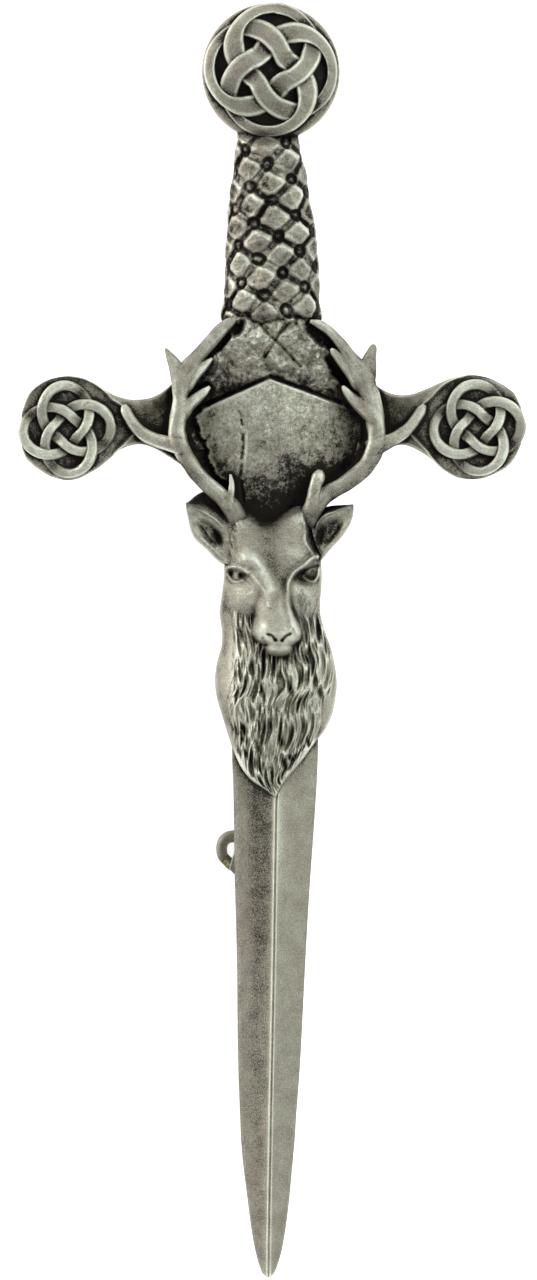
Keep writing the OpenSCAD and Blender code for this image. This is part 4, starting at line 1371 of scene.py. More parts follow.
@dataclass
class Head:
    """The stag's face, neck and mane, carved as one sheet down to its pointed end."""

    rows_px: Points = (
        (506, 234, 308), (514, 231, 311), (527, 228, 314), (540, 226.4, 317), (552, 225.6, 319.6),
        (564, 224.4, 321.2), (576, 224, 322), (588, 222.8, 321.4), (600, 221, 320.4),
        (612, 219.6, 320.2), (624, 221, 323), (636, 222.2, 326.8), (648, 221, 331), (660, 217.4, 334),
        (672, 215.4, 336), (684, 215, 337), (696, 216.4, 336), (708, 219.6, 334), (720, 223.4, 330.4),
        (732, 227, 323.6), (741, 230, 316.4), (750, 233, 309.6), (758, 236.6, 304), (766, 240.6, 297.6),
        (774, 246, 291), (781, 252.4, 286), (788, 262.4, 281.4), (793, 269, 278.8),
        (797.6, 274.4, 276.4),
    )
    hair_px: Points = (
        (585, 224, 323), (600, 227.5, 322.5), (612, 231, 323), (630, 233, 327), (650, 232, 332),
        (670, 231.5, 335), (690, 230, 332), (700, 228, 326), (715, 229.6, 322), (730, 232, 320),
        (741, 234, 314.6), (750, 236.4, 307.8), (758, 239.4, 302), (766, 243.6, 295.6),
        (774, 248.8, 289.4), (781, 255.4, 284.4), (790, 267, 279.8), (797.6, 274.6, 276.2),
    )
    pits_px: Points = (
        (237.5, 733, 3.4, 7.5), (245.4, 730, 2.4, 6), (239, 752, 2.8, 6), (246, 753, 2.3, 6),
        (254.6, 764, 3.6, 9), (282, 743, 3.6, 7.5), (290, 757.5, 2.6, 3.2), (258, 747, 2.2, 7),
        (308.3, 743, 1.6, 6), (227.5, 697, 1.6, 3.2), (230, 615, 1.8, 4.5), (240, 633, 3.2, 7),
        (284, 763, 2.4, 6), (306.7, 658, 3.2, 6.5), (290, 688, 2.2, 7), (320, 693, 2.8, 5.5),
        (262, 690, 2.0, 9),
    )
    brow_px: Points = (
        (226, 516), (238, 509), (246, 511), (254, 516), (262, 521), (272, 520.5), (284, 513),
        (294, 507), (302, 504), (310, 509), (318, 518),
    )
    brow_row_px: float = 509.0
    brow_fade_px: Pair = (560.0, 524.0)
    skull_h: Points = (
        (506, 1.6), (510, 2.9), (515, 3.75), (522, 4.25), (532, 4.6), (545, 4.85), (560, 5.0),
        (575, 5.1), (590, 5.0), (604, 4.75), (618, 4.2), (634, 3.2), (650, 1.5), (680, -2.0),
    )
    skull_middle_px: Points = ((506, 270.5), (560, 272.5), (600, 273.5), (634, 275.0))
    skull_reach_px: Points = ((506, 39), (527, 43), (552, 47.5), (575, 49), (600, 48), (620, 42), (634, 34))
    temple_fade_px: Pair = (540.0, 580.0)
    snout_h: Points = (
        (500, -2.0), (524, 1.0), (540, 2.9), (552, 3.9), (566, 4.85), (580, 5.5), (595, 6.05),
        (608, 6.45), (620, 6.9), (630, 7.2), (637, 7.2), (641, 6.9), (645, 6.2), (650, 5.0), (656, 3.2),
        (670, -3.0),
    )
    snout_middle_px: Points = (
        (540, 272), (560, 273.4), (575, 275.6), (590, 277.4), (605, 278.6), (620, 279.2), (650, 279.6),
    )
    snout_reach_px: Points = (
        (540, 26, 28), (560, 24, 22), (575, 22, 16), (590, 21, 12.4), (605, 21, 13), (615, 22.5, 16.0),
        (624, 25.2, 19.4), (634, 25.2, 21.4), (641, 22, 19.5), (646, 17, 15.0), (652, 10, 9),
    )
    muzzle_from_px: Pair = (604.0, 626.0)
    lip_px: Pair = (278.8, 645.5)
    lip_reach_px: Pair = (14.4, 11.4)
    neck_crown_h: Points = (
        (506, 0.8), (540, 2.6), (580, 3.5), (610, 4.0), (640, 4.5), (680, 4.85), (715, 4.8),
        (740, 4.55), (765, 4.15), (785, 3.75), (798, 3.3),
    )
    neck_rim_h: Points = ((506, 0.8), (540, 2.0), (600, 2.1), (680, 2.3), (740, 2.7), (770, 3.1), (798, 3.1))
    hair_from_px: Pair = (588.0, 616.0)
    hair_end_px: Pair = (800.0, 786.0)
    rows: int = 470
    places: int = 176
    lock_depth: float = 0.62

    def skull(self, x: Array, y: Array) -> Array:
        """Forehead and cheeks: a crowned form whose sides fall away, with a dip between the
        antlers' feet.

        Args:
            x: columns in pixels.
            y: rows in pixels.

        Returns:
            Height in millimetres.
        """
        y = y - (curve(self.brow_px, x) - self.brow_row_px) * smooth(*self.brow_fade_px, y)
        u = np.abs(x - curve(self.skull_middle_px, y)) / curve(self.skull_reach_px, y)
        return curve(self.skull_h, y) - mix(1.2, 1.9, smooth(*self.temple_fade_px, y)) * u ** 2.8

    def snout(self, x: Array, y: Array) -> Array:
        """Nose and muzzle: a ridge with a flat top that widens and rises to the nose.

        Args:
            x: columns in pixels.
            y: rows in pixels.

        Returns:
            Height in millimetres.
        """
        centre = curve(self.snout_middle_px, y)
        left, right = sides(self.snout_reach_px, y)
        u = np.abs(x - centre) / np.where(x < centre, left, right)
        side = smooth(*self.muzzle_from_px, y)
        depth = np.where(x < centre, mix(1.5, 2.1, side), mix(2.2, 2.4, side))
        power = np.where(x < centre, mix(2.3, 2.6, side), mix(2.3, 3.2, side))
        skirt = np.where(x < centre, mix(1.0, 3.4, side), mix(1.2, 5.0, side))
        return curve(self.snout_h, y) - depth * u ** power - skirt * smooth(1.0, 1.9, u)

    def lip(self, x: Array, y: Array) -> Array:
        """Lower lip and chin: a low dome over a squarish oval.

        Args:
            x: columns in pixels.
            y: rows in pixels.

        Returns:
            Height in millimetres.
        """
        a = np.abs((x - self.lip_px[0]) / self.lip_reach_px[0])
        b = np.abs((y - self.lip_px[1]) / self.lip_reach_px[1])
        u = (a ** 2.5 + b ** 2.5) ** 0.4
        return 6.1 - 1.5 * u ** 2.6 - 3.0 * smooth(1.0, 1.4, u)

    def hair(self, x: Array, y: Array) -> tuple[Array, Array, Array]:
        """Locks of the mane: long hollow cells whose borders stand up as wavy strands.

        Args:
            x: columns in pixels.
            y: rows in pixels.

        Returns:
            Height to add in millimetres, the share of each place that is hair, and where the
            strands' crests are.
        """
        left, right = sides(self.hair_px, y)
        wide = right - left
        u = (x - left) / wide
        wave = np.sin(y / 12.0 + 7.0 * u + 2.0 * mottle(x, y, 40.0, 80))
        wave = wave + 0.35 * np.sin(y / 5.4 + 17.0 * u + 1.0)
        a = (u - 0.46) * 17.0 * (wide / 98.0) ** 0.55 + 0.22 * wave + 0.3 * mottle(x, y, 30.0, 81)
        b = y / 29.0 + 0.6 * (u - 0.5) ** 2 + 0.4 * mottle(x, y, 34.0, 84)
        gap, mark = cells(a + 40, b + 40, 83)
        pit = smooth(0.12, 0.62, gap) * smooth(0.1, 0.85, mark)
        fine_gap, fine_mark = cells(a * 1.8 + 40, b * 1.1 + 40, 84)
        fine = smooth(0.1, 0.5, fine_gap) * (0.4 + 0.6 * fine_mark)
        grain = mottle(a * 5.0, b * 2.2, 1.0, 88)
        fall = -0.8 * pit - 0.36 * fine * (1.0 - 0.6 * pit) + 0.12 * grain
        smooth_lock = SMOOTH_LOCK.over(x, y)
        fall = fall * (1.0 - 0.75 * smooth_lock)
        for cx, cy, rx, ry in self.pits_px:
            fall = fall - 0.9 * np.exp(-(((x - cx - 0.25 * (y - cy)) / rx) ** 2) - ((y - cy) / ry) ** 2)
        inside = np.minimum(x - left, right - x)
        lowered = y + 0.35 * np.abs(x - 276.0) - 6.0
        share = smooth(-1.5, 4.0, inside) * smooth(*self.hair_from_px, lowered)
        share = share * smooth(*self.hair_end_px, y)
        plump = 0.12 * mottle(a, b, 1.6, 85)
        crest = (bell(gap, 0.1) + 0.4 * bell(fine_gap, 0.08)) * (1.0 - smooth_lock)
        return (self.lock_depth * fall + 0.2 + plump) * share, share, crest * share

    def skin(self) -> Skin:
        """The whole carved sheet: neck and mane, then the face over them.

        Returns:
            The sheet's skin.
        """
        share = np.linspace(0.0, 1.0, self.rows)
        y = mix(self.rows_px[0][0], self.rows_px[-1][0], share)
        left, right = (edge[:, None] for edge in sides(self.rows_px, y))
        t = np.linspace(-1.0, 1.0, self.places)
        t = 0.5 + 0.5 * t * (1.0 + 0.22 * (1.0 - t * t))
        x = mix(left, right, t[None, :])
        yy = np.broadcast_to(y[:, None], x.shape)
        u = np.abs(2.0 * t[None, :] - 1.0)
        rim = curve(self.neck_rim_h, yy)
        neck = rim + (curve(self.neck_crown_h, yy) - rim) * (1.0 - u ** 2.5)
        locks, hairy, crest = self.hair(x, yy)
        neck = neck + locks
        face = higher(self.skull(x, yy), self.snout(x, yy), 0.35)
        face = higher(face, self.lip(x, yy), 0.8)
        face = face + carve(FACE_MARKS, x, yy)
        down = 0.018 * mottle(x, yy, 1.3, 86) + 0.02 * mottle(x, yy, 5.0, 87)
        side = smooth(24.0, 36.0, np.abs(x - 270.0)) * smooth(575.0, 525.0, yy)
        side = side * np.where(x < 270.0, 1.0, 0.4)
        fur = 0.17 * mottle(x - 0.35 * yy * np.sign(271.0 - x), yy * 0.24, 1.7, 90) * side
        cheek = 0.06 * mottle(x + 0.4 * yy, yy * 0.3, 1.5, 91)
        cheek = cheek * smooth(296.0, 301.0, x) * smooth(578.0, 586.0, yy)
        face = face + down * smooth(620.0, 600.0, yy) + fur + cheek
        h = higher(neck, face, 0.3)
        edge = np.minimum(x - left, right - x)
        h = h - 0.5 * smooth(3.2, 0.0, edge) ** 2
        is_face = smooth(-0.2, 0.3, face - neck)
        # Painted highlights from the marks above and on the lip, and painted shade in the right temple.
        wear_and_highlight = carve(PAINTED_LIGHT_MARKS, x, yy) + LIP_SHINE.over(x, yy) * is_face
        crown_dip = smooth(538.0, 514.0, yy) * bell(x - 267.0, 24.0)
        stain_and_shading = BRIDGE_DARKENING.over(x, yy) - 0.45 * wear_and_highlight + 0.6 * crown_dip
        stain_and_shading = stain_and_shading - (0.12 * hairy + 0.6 * crest) * (1.0 - is_face)
        stain_and_shading = stain_and_shading + (CHIN_SHADOW.over(x, yy) + UPPER_LEFT_SHADOW.over(x, yy)) * (1.0 - is_face)
        stain_and_shading = stain_and_shading + 0.1 * grit(x, yy, 5.0, 92) * is_face
        return relief(across(x), along(yy), h, stain_and_shading=stain_and_shading)


@dataclass
class Ear:
    """One cupped ear: a leaf between its lower edge, its front rim and its upper edge."""

    lower_px: Points
    rim_px: Points
    upper_px: Points
    cup_px: tuple[float, ...]
    hollow_px: tuple[float, ...]
    top_h: float
    seed: int
    cup_stain: float = 0.12
    sink: float = 0.0
    rows: int = 130
    places: int = 90
    rim_share: float = 0.7
    leaf_h: Points = (
        (0.0, -0.7), (0.03, -0.14), (0.08, 0.05), (0.2, 0.0), (0.5, -0.04), (0.63, 0.02), (0.69, 0.15),
        (0.74, -0.15), (0.84, -0.9), (1.0, -1.5),
    )
    root_h: Points = (
        (0.0, -0.7), (0.03, -0.14), (0.08, 0.05), (0.2, 0.0), (0.5, -0.05), (0.75, -0.2), (1.0, -0.5),
    )

    def skin(self) -> Skin:
        """The leaf: flat inside a soft edge, with an oval cup lined with hairs near its root.
        Past the front rim it falls to the ear's back, darkened with painted shade and patina.

        Returns:
            The ear's skin.
        """
        lower = run(self.lower_px, self.rows)
        rim = run(self.rim_px, self.rows)
        upper = run(self.upper_px, self.rows)
        t = np.linspace(0.0, 1.0, self.places)
        front = np.clip(t / self.rim_share, 0.0, 1.0)[None, :, None]
        behind = np.clip((t - self.rim_share) / (1.0 - self.rim_share), 0.0, 1.0)[None, :, None]
        place = mix(mix(lower[:, None], rim[:, None], front), upper[:, None], behind)
        x = place[..., 0]
        y = place[..., 1]
        leaf = curve(self.leaf_h, t)[None, :]
        s = np.linspace(0.0, 1.0, self.rows)[:, None]
        root = curve(self.root_h, t)[None, :]
        h = self.top_h + mix(root, leaf, smooth(0.16, 0.42, s)) - self.sink * smooth(0.14, 0.0, s)
        far, near, reach = oval(x, y, self.cup_px)
        cup = smooth(1.08, 0.5, reach)
        hollow = bell(oval(x, y, self.hollow_px)[2], 1.0)
        hair = np.sin(10.0 * near + 2.4 * mottle(far * 3.6, near * 3.6, 1.0, self.seed))
        h = h - 0.42 * cup - 0.5 * hollow
        h = h + 0.07 * hair * smooth(1.15, 0.7, reach) * smooth(-0.5, 0.2, near)
        h = h + 0.05 * grit(x, y, 6.0, self.seed + 1) + 0.06 * cup * grit(x, y, 2.2, self.seed + 2)
        # Painted shade, together with patina, over the ear's back past the front rim and near its root.
        back = smooth(0.72, 0.82, t)[None, :] * smooth(0.16, 0.42, s)
        stain_and_shading = self.cup_stain * cup + 0.35 * hollow + 0.7 * back
        stain_and_shading = stain_and_shading + 0.3 * bell(t[None, :] - 0.85, 0.3) * smooth(0.42, 0.16, s)
        return relief(across(x), along(y), h, foot=0.0, stain_and_shading=stain_and_shading)


@dataclass
class Antler:
    """One antler: a beam with tines, each an arched bar whose sides drop to the back.

    Each branch is a table of x, y up from the guard's middle, height of the bar's top above
    the back and half-width, all in millimetres.
    """

    branches: tuple[Points, ...]
    seed: int
    arch_places: int = 21
    squareness: float = 2.25
    fillet: float = 0.3
    arch_rise: float = 0.85
    pale_from_y: Pair = (-3.5, 4.0)

    def branch(self, rows: Points, seed: int) -> Skin:
        """One bar: an arched profile with shallow lengthwise grooves, carried along its path.

        Args:
            rows: the bar's table.
            seed: picks its unevenness.

        Returns:
            The bar's skin.
        """
        table = np.array(rows, float)
        length = float(np.linalg.norm(np.diff(table[:, :2], axis=0), axis=1).sum())
        path = run(table, max(14, int(length / 0.11)))
        path[:, 3] = np.clip(path[:, 3], 0.05, 2.0)
        count = len(path)
        turn = np.linspace(0.0, math.pi, self.arch_places)[None, :]
        share = np.linspace(0.0, 1.0, count)[:, None]
        shift = 2.0 * mottle(share * 5, share * 0, 1.0, seed)
        groove = 1.0 + 0.03 * np.sin(9.0 * turn + shift) * np.sin(turn)
        radius = path[:, 3:4] * (1.0 + 0.06 * mottle(share * length, turn, 0.8, seed + 1))
        cosine = np.sign(np.cos(turn)) * np.abs(np.cos(turn)) ** (2 / self.squareness)
        sine = np.sin(turn) ** (2 / self.squareness)
        side = np.hstack([-radius * cosine, radius[:, -1:] * 1.04, -radius[:, :1] * 1.04])
        arch = path[:, 2:3] - self.arch_rise * path[:, 3:4] * (1.0 - sine * groove)
        foot = np.zeros((count, 2))
        profile = np.stack([side, np.hstack([arch, foot])], axis=-1)
        flat = path[:, :2] + np.array([0.0, GUARD_Y])
        return carried(flat, profile)

    def cover(self, rows: Points, x: Array, y: Array) -> Array:
        """Height of one bar's arched top over other places.

        For each stretch of the bar the distance to it, as a share of its half-width there,
        gives the arch's height; past the bar's side it falls away steeply.

        Args:
            rows: the bar's table.
            x: millimetres to the right.
            y: millimetres above the guard's middle.

        Returns:
            The bar's height at each place.
        """
        path = run(np.array(rows, float), 4 * len(rows))
        best = np.full(x.shape, -9.0)
        for (ax, ay, ah, ar), (bx, by, bh, br) in zip(path[:-1], path[1:]):
            dx = bx - ax
            dy = by - ay
            t = np.clip(((x - ax) * dx + (y - ay) * dy) / (dx * dx + dy * dy), 0.0, 1.0)
            radius = np.maximum(mix(ar, br, t), 0.05)
            c = np.hypot(x - ax - t * dx, y - ay - t * dy) / radius
            round_top = (1.0 - np.clip(c, 0.0, 1.0) ** self.squareness) ** (1 / self.squareness)
            arch = self.arch_rise * radius * (1.0 - round_top)
            best = np.maximum(best, mix(ah, bh, t) - arch - 6.0 * radius * np.clip(c - 1.0, 0.0, 9.0))
        return best

    def skin(self) -> Skin:
        """All the antler's branches, each raised into rounded corners where it meets another.

        Returns:
            The antler's skin.
        """
        skins = [self.branch(rows, self.seed + 5 * k) for k, rows in enumerate(self.branches)]
        turn = np.linspace(0.0, math.pi, self.arch_places)
        # Painted shade down each bar's curved sides and its walls.
        flank = np.concatenate([np.cos(turn) ** 6, [1.0, 1.0]])
        for k, skin in enumerate(skins):
            x = skin.points[:, 0]
            y = skin.points[:, 1] - GUARD_Y
            h = skin.points[:, 2]
            covers = [self.cover(rows, x, y) for j, rows in enumerate(self.branches) if j != k]
            others = np.max(covers, axis=0)
            near = smooth(-0.6, 0.2, others - h + 0.4)
            raised = mix(h, higher(h, others, self.fillet), near)
            skin.points[:, 2] = np.where(h > 0.01, raised, BACK_STEP * k)
            rough = 0.24 * grit(x, y, 1.4, self.seed + 50) + 0.16 * grit(x + 0.4 * y, y, 0.5, self.seed + 51)
            skin.stain_and_shading = mix(0.36, 0.1, smooth(*self.pale_from_y, y)) + rough + 0.5 * np.resize(flank, len(x))
        return join(skins)


LEFT_ANTLER = Antler(
    branches=(
        ((-2.45, -8.6, 3.2, 0.8), (-2.75, -7.6, 4.0, 0.85), (-3.1, -6.8, 4.25, 0.8),
         (-3.95, -5.75, 4.3, 0.7), (-5.86, -3.95, 4.2, 0.64), (-7.25, -1.9, 4.05, 0.68),
         (-7.75, -0.6, 4.0, 0.74), (-7.65, 0.9, 3.95, 0.68), (-7.48, 2.34, 3.9, 0.62),
         (-7.42, 3.7, 3.85, 0.72), (-6.95, 4.8, 3.8, 0.72), (-6.02, 5.96, 3.8, 0.57),
         (-4.87, 7.28, 3.75, 0.55), (-3.84, 8.35, 3.7, 0.49), (-3.2, 8.85, 3.6, 0.34),
         (-2.9, 9.05, 3.5, 0.16)),
        ((-7.1, -1.6, 3.1, 0.6), (-7.6, -1.45, 3.85, 0.7), (-8.33, -1.28, 3.8, 0.62),
         (-9.65, -0.9, 3.7, 0.53), (-10.8, -0.25, 3.6, 0.49), (-11.6, 0.75, 3.4, 0.44),
         (-12.03, 1.6, 3.2, 0.38), (-12.12, 1.95, 3.0, 0.2)),
        ((-7.3, 2.9, 3.1, 0.6), (-7.45, 3.7, 3.85, 0.72), (-7.67, 4.6, 3.8, 0.66),
         (-7.95, 5.3, 3.7, 0.52), (-8.29, 5.88, 3.6, 0.36), (-8.55, 6.3, 3.5, 0.2),
         (-8.72, 6.58, 3.4, 0.08)),
        ((-7.8, 0.7, 3.1, 0.6), (-7.3, 1.35, 3.85, 0.66), (-6.75, 1.95, 3.85, 0.5),
         (-6.1, 2.5, 3.75, 0.42), (-5.5, 3.0, 3.65, 0.34), (-5.05, 3.42, 3.5, 0.16)),
        ((-7.6, 2.9, 3.1, 0.6), (-7.05, 3.6, 3.85, 0.66), (-6.4, 4.3, 3.85, 0.52),
         (-5.75, 4.95, 3.75, 0.42), (-5.2, 5.45, 3.6, 0.26), (-4.85, 5.75, 3.5, 0.1)),
        ((-3.5, -6.3, 4.2, 0.42), (-3.3, -5.4, 4.3, 0.3), (-3.25, -4.5, 4.2, 0.22),
         (-3.35, -3.8, 4.0, 0.1)),
    ),
    seed=100,
)
RIGHT_ANTLER = Antler(
    branches=(
        ((2.6, -8.5, 3.2, 0.8), (3.0, -7.6, 4.0, 0.86), (3.3, -6.9, 4.25, 0.84),
         (4.15, -5.75, 4.35, 0.72), (6.32, -4.35, 4.2, 0.64), (7.95, -2.9, 4.1, 0.68),
         (8.62, -1.2, 4.05, 0.74), (8.62, 0.3, 4.0, 0.76), (8.4, 1.4, 3.95, 0.8), (8.15, 2.5, 3.9, 0.8),
         (7.85, 3.5, 3.85, 0.84), (7.45, 4.5, 3.85, 0.86), (6.95, 5.25, 3.8, 0.66),
         (6.49, 5.96, 3.8, 0.5), (5.95, 6.7, 3.75, 0.46), (5.37, 7.42, 3.75, 0.4),
         (4.72, 8.08, 3.7, 0.36), (3.85, 8.62, 3.65, 0.32), (3.2, 8.82, 3.6, 0.14)),
        ((7.9, -1.7, 3.1, 0.6), (8.35, -1.55, 3.85, 0.7), (9.04, -1.28, 3.8, 0.6),
         (9.86, -0.95, 3.75, 0.52), (11.0, -0.25, 3.6, 0.48), (12.0, 0.9, 3.4, 0.42),
         (12.45, 1.65, 3.2, 0.35), (12.6, 1.95, 3.0, 0.2)),
        ((7.6, 3.2, 3.1, 0.7), (7.75, 4.1, 3.85, 0.8), (7.95, 5.1, 3.8, 0.68), (8.13, 5.88, 3.7, 0.5),
         (8.32, 6.4, 3.6, 0.38), (8.42, 6.75, 3.5, 0.26), (8.45, 6.92, 3.4, 0.1)),
        ((7.9, 3.1, 3.1, 0.7), (7.3, 3.85, 3.85, 0.76), (6.65, 4.65, 3.8, 0.6), (5.99, 5.39, 3.75, 0.48),
         (5.42, 6.02, 3.65, 0.36), (5.05, 6.4, 3.55, 0.24), (4.92, 6.55, 3.5, 0.1)),
        ((8.7, 0.8, 3.1, 0.6), (8.2, 1.2, 3.85, 0.7), (7.64, 1.68, 3.85, 0.6), (6.98, 2.22, 3.75, 0.48),
         (6.4, 2.79, 3.65, 0.37), (6.0, 3.3, 3.55, 0.22), (5.88, 3.48, 3.5, 0.1)),
        ((3.3, -6.5, 4.3, 0.6), (3.45, -5.7, 4.5, 0.52), (3.7, -4.6, 4.55, 0.5), (3.98, -3.7, 4.4, 0.44),
         (4.05, -3.42, 4.2, 0.22)),
    ),
    seed=200,
)


@dataclass
class SpringPin:
    """The steel block on the grip's back and the straight pin that springs from it."""

    middle_y: float = 31.91
    block_size: tuple[float, float, float] = (5.0, 6.0, 4.45)
    stem_radius: float = 0.55
    stem_z: float = 1.65
    stem_length: float = 50.3
    point_length: float = 2.75
    bevel: float = 0.3

    def block(self) -> Skin:
        """The block: a rounded rectangle whose ring shrinks at its upper and lower edges.

        Returns:
            The block's skin.
        """
        wide, long, high = self.block_size
        turn = np.linspace(0.0, 2 * math.pi, 64, endpoint=False)
        sign_x = np.sign(np.cos(turn)) * np.abs(np.cos(turn)) ** 0.22
        sign_y = np.sign(np.sin(turn)) * np.abs(np.sin(turn)) ** 0.22
        bend = np.linspace(0.0, math.pi / 2, 6)
        inset = np.concatenate([self.bevel * (1 - np.sin(bend)), self.bevel * (1 - np.cos(bend))])
        z = np.concatenate([self.bevel * (1 - np.cos(bend)), high - self.bevel * (1 - np.sin(bend))])
        x = (wide / 2 - inset[:, None]) * sign_x
        y = self.middle_y + (long / 2 - inset[:, None]) * sign_y
        return loft(np.stack([x, y, np.broadcast_to(z[:, None], x.shape)], axis=-1))

    def stem(self) -> Skin:
        """The stem: a tube that thickens slightly at the block and ends in a point.

        Returns:
            The stem's skin.
        """
        straight = np.linspace(0.0, self.stem_length, 60)
        point = self.stem_length + np.linspace(0.2, self.point_length, 14)
        down = np.concatenate([straight, point])
        past = np.clip((down - self.stem_length) / self.point_length, 0.0, 1.0)
        radius = self.stem_radius * (1.0 - 0.92 * past ** 1.3)
        path = np.stack([down * 0.0, self.middle_y - down, np.full(down.shape, self.stem_z)], axis=1)
        collar_at = self.middle_y - self.block_size[1] / 2
        collar = self.stem_radius * 0.55 * bell(path[:, 1] - collar_at, 0.55)
        return tube(path, radius + collar, 40)

    def skin(self) -> Skin:
        """The block and the stem."""
        return join([self.block(), self.stem()])


@dataclass
class Catch:
    """The catch: a turned pad on the blade's back and a round wire that curls back beside it."""

    wire_radius: float = 0.45
    level: float = 0.45
    pad_z: Pair = (3.76, 4.45)
    pad_px: Points = ((229.2, 869.6), (236.4, 842.6), (302.4, 861.6), (281.0, 923.0))
    centre_px: Pair = (234.4, 850.0)
    hole_px: Pair = (234.6, 850.0)
    tail_px: Pair = (854.0, 862.0)
    curl_reach: Pair = (1.07, 1.06)
    tail_steps: Points = ((0.36, -0.4, 0.3), (0.85, -0.6, 0.75))
    riser_x: float = 1.85
    bend_radius: float = 0.7

    def wire(self) -> Skin:
        """The wire: down from the pad, across under the stem and round the curl.

        Returns:
            The wire's skin.
        """
        cx = float(across(self.centre_px[0]))
        cy = float(along(self.centre_px[1]))
        turn = np.radians(np.linspace(90.0, 236.0, 30))
        wide = np.sign(np.cos(turn)) * np.abs(np.cos(turn)) ** 0.84
        tall = np.sign(np.sin(turn)) * np.abs(np.sin(turn)) ** 0.84
        curl_x = cx + self.curl_reach[0] * wide
        curl_y = cy + self.curl_reach[1] * tall
        curl = np.stack([curl_x, curl_y, np.full(30, self.level)], axis=1)
        tail = curl[-1] + np.array(self.tail_steps)
        top_y = cy + self.curl_reach[1]
        corner = np.radians(np.linspace(0.0, 90.0, 12))
        bend_x = self.riser_x - self.bend_radius + self.bend_radius * np.cos(corner)
        bend_z = self.level + self.bend_radius - self.bend_radius * np.sin(corner)
        bend = np.stack([bend_x, np.full(12, top_y), bend_z], axis=1)
        start = np.array([[self.riser_x, top_y, 4.1], [self.riser_x, top_y, 2.6]])
        level_x = np.linspace(self.riser_x - 0.9, cx + 0.1, 12)
        straight = np.stack([level_x, np.full(12, top_y), np.full(12, self.level)], axis=1)
        even = run_in_space(np.vstack([start, bend, straight, curl, tail]), 150)
        swell = 1.0 + 0.14 * bell(np.hypot(even[:, 0] - cx, even[:, 1] - cy - 1.1), 1.1)
        even[:, 2] += self.wire_radius * (swell - 1.0)
        return tube(even, self.wire_radius * swell, 28)

    def pad(self) -> Skin:
        """The pad: its four-cornered outline with rounded corners, drawn in at the edges.

        Returns:
            The pad's skin.
        """
        corners = np.array(self.pad_px)
        middle = corners.mean(axis=0)
        rounded = []
        before_each = np.roll(corners, 1, axis=0)
        after_each = np.roll(corners, -1, axis=0)
        for before, corner, after in zip(before_each, corners, after_each):
            one = corner + (before - corner) * 0.02
            two = corner + (after - corner) * 0.02
            share = np.linspace(0.0, 1.0, 8)[:, None]
            rounded.append((1 - share) ** 2 * one + 2 * share * (1 - share) * corner + share ** 2 * two)
        outline = np.vstack(rounded)
        low, high = self.pad_z
        rows = ((0.955, low), (0.985, low + 0.06), (1.0, low + 0.16), (1.0, high - 0.1), (0.98, high))
        rings = []
        for k, z in rows:
            x = across(middle[0] + (outline[:, 0] - middle[0]) * k)
            y = along(middle[1] + (outline[:, 1] - middle[1]) * k)
            rings.append(np.column_stack([x, y, np.full(len(outline), z)]))
        return loft(np.stack(rings))

    def skin(self) -> Skin:
        """The wire, darkest inside its curl and at its tail, and the pad.

        Returns:
            Both, as one skin.
        """
        wire = self.wire()
        x = wire.points[:, 0]
        y = wire.points[:, 1]
        near = bell(np.hypot(x - across(self.hole_px[0]), y - along(self.hole_px[1])), 0.86)
        wire.stain_and_shading = 0.24 + 1.05 * near + 0.6 * smooth(*along(self.tail_px), y)
        pad = self.pad()
        pad.stain_and_shading = np.full(len(pad.points), -0.1)
        return join([wire, pad])


def run_in_space(points: Array, count: int) -> Array:
    """Even places along a path in space, joined by straight stretches and then eased twice.

    Args:
        points: the path's corners.
        count: how many places to read.

    Returns:
        The places, one row each.
    """
    steps = np.linalg.norm(np.diff(points, axis=0), axis=1)
    knots = np.concatenate([[0.0], np.cumsum(steps)])
    at = np.linspace(0.0, knots[-1], count)
    path = np.stack([np.interp(at, knots, points[:, k]) for k in range(3)], axis=1)
    for _ in range(2):
        path[1:-1] = (path[:-2] + 2 * path[1:-1] + path[2:]) / 4
    return path


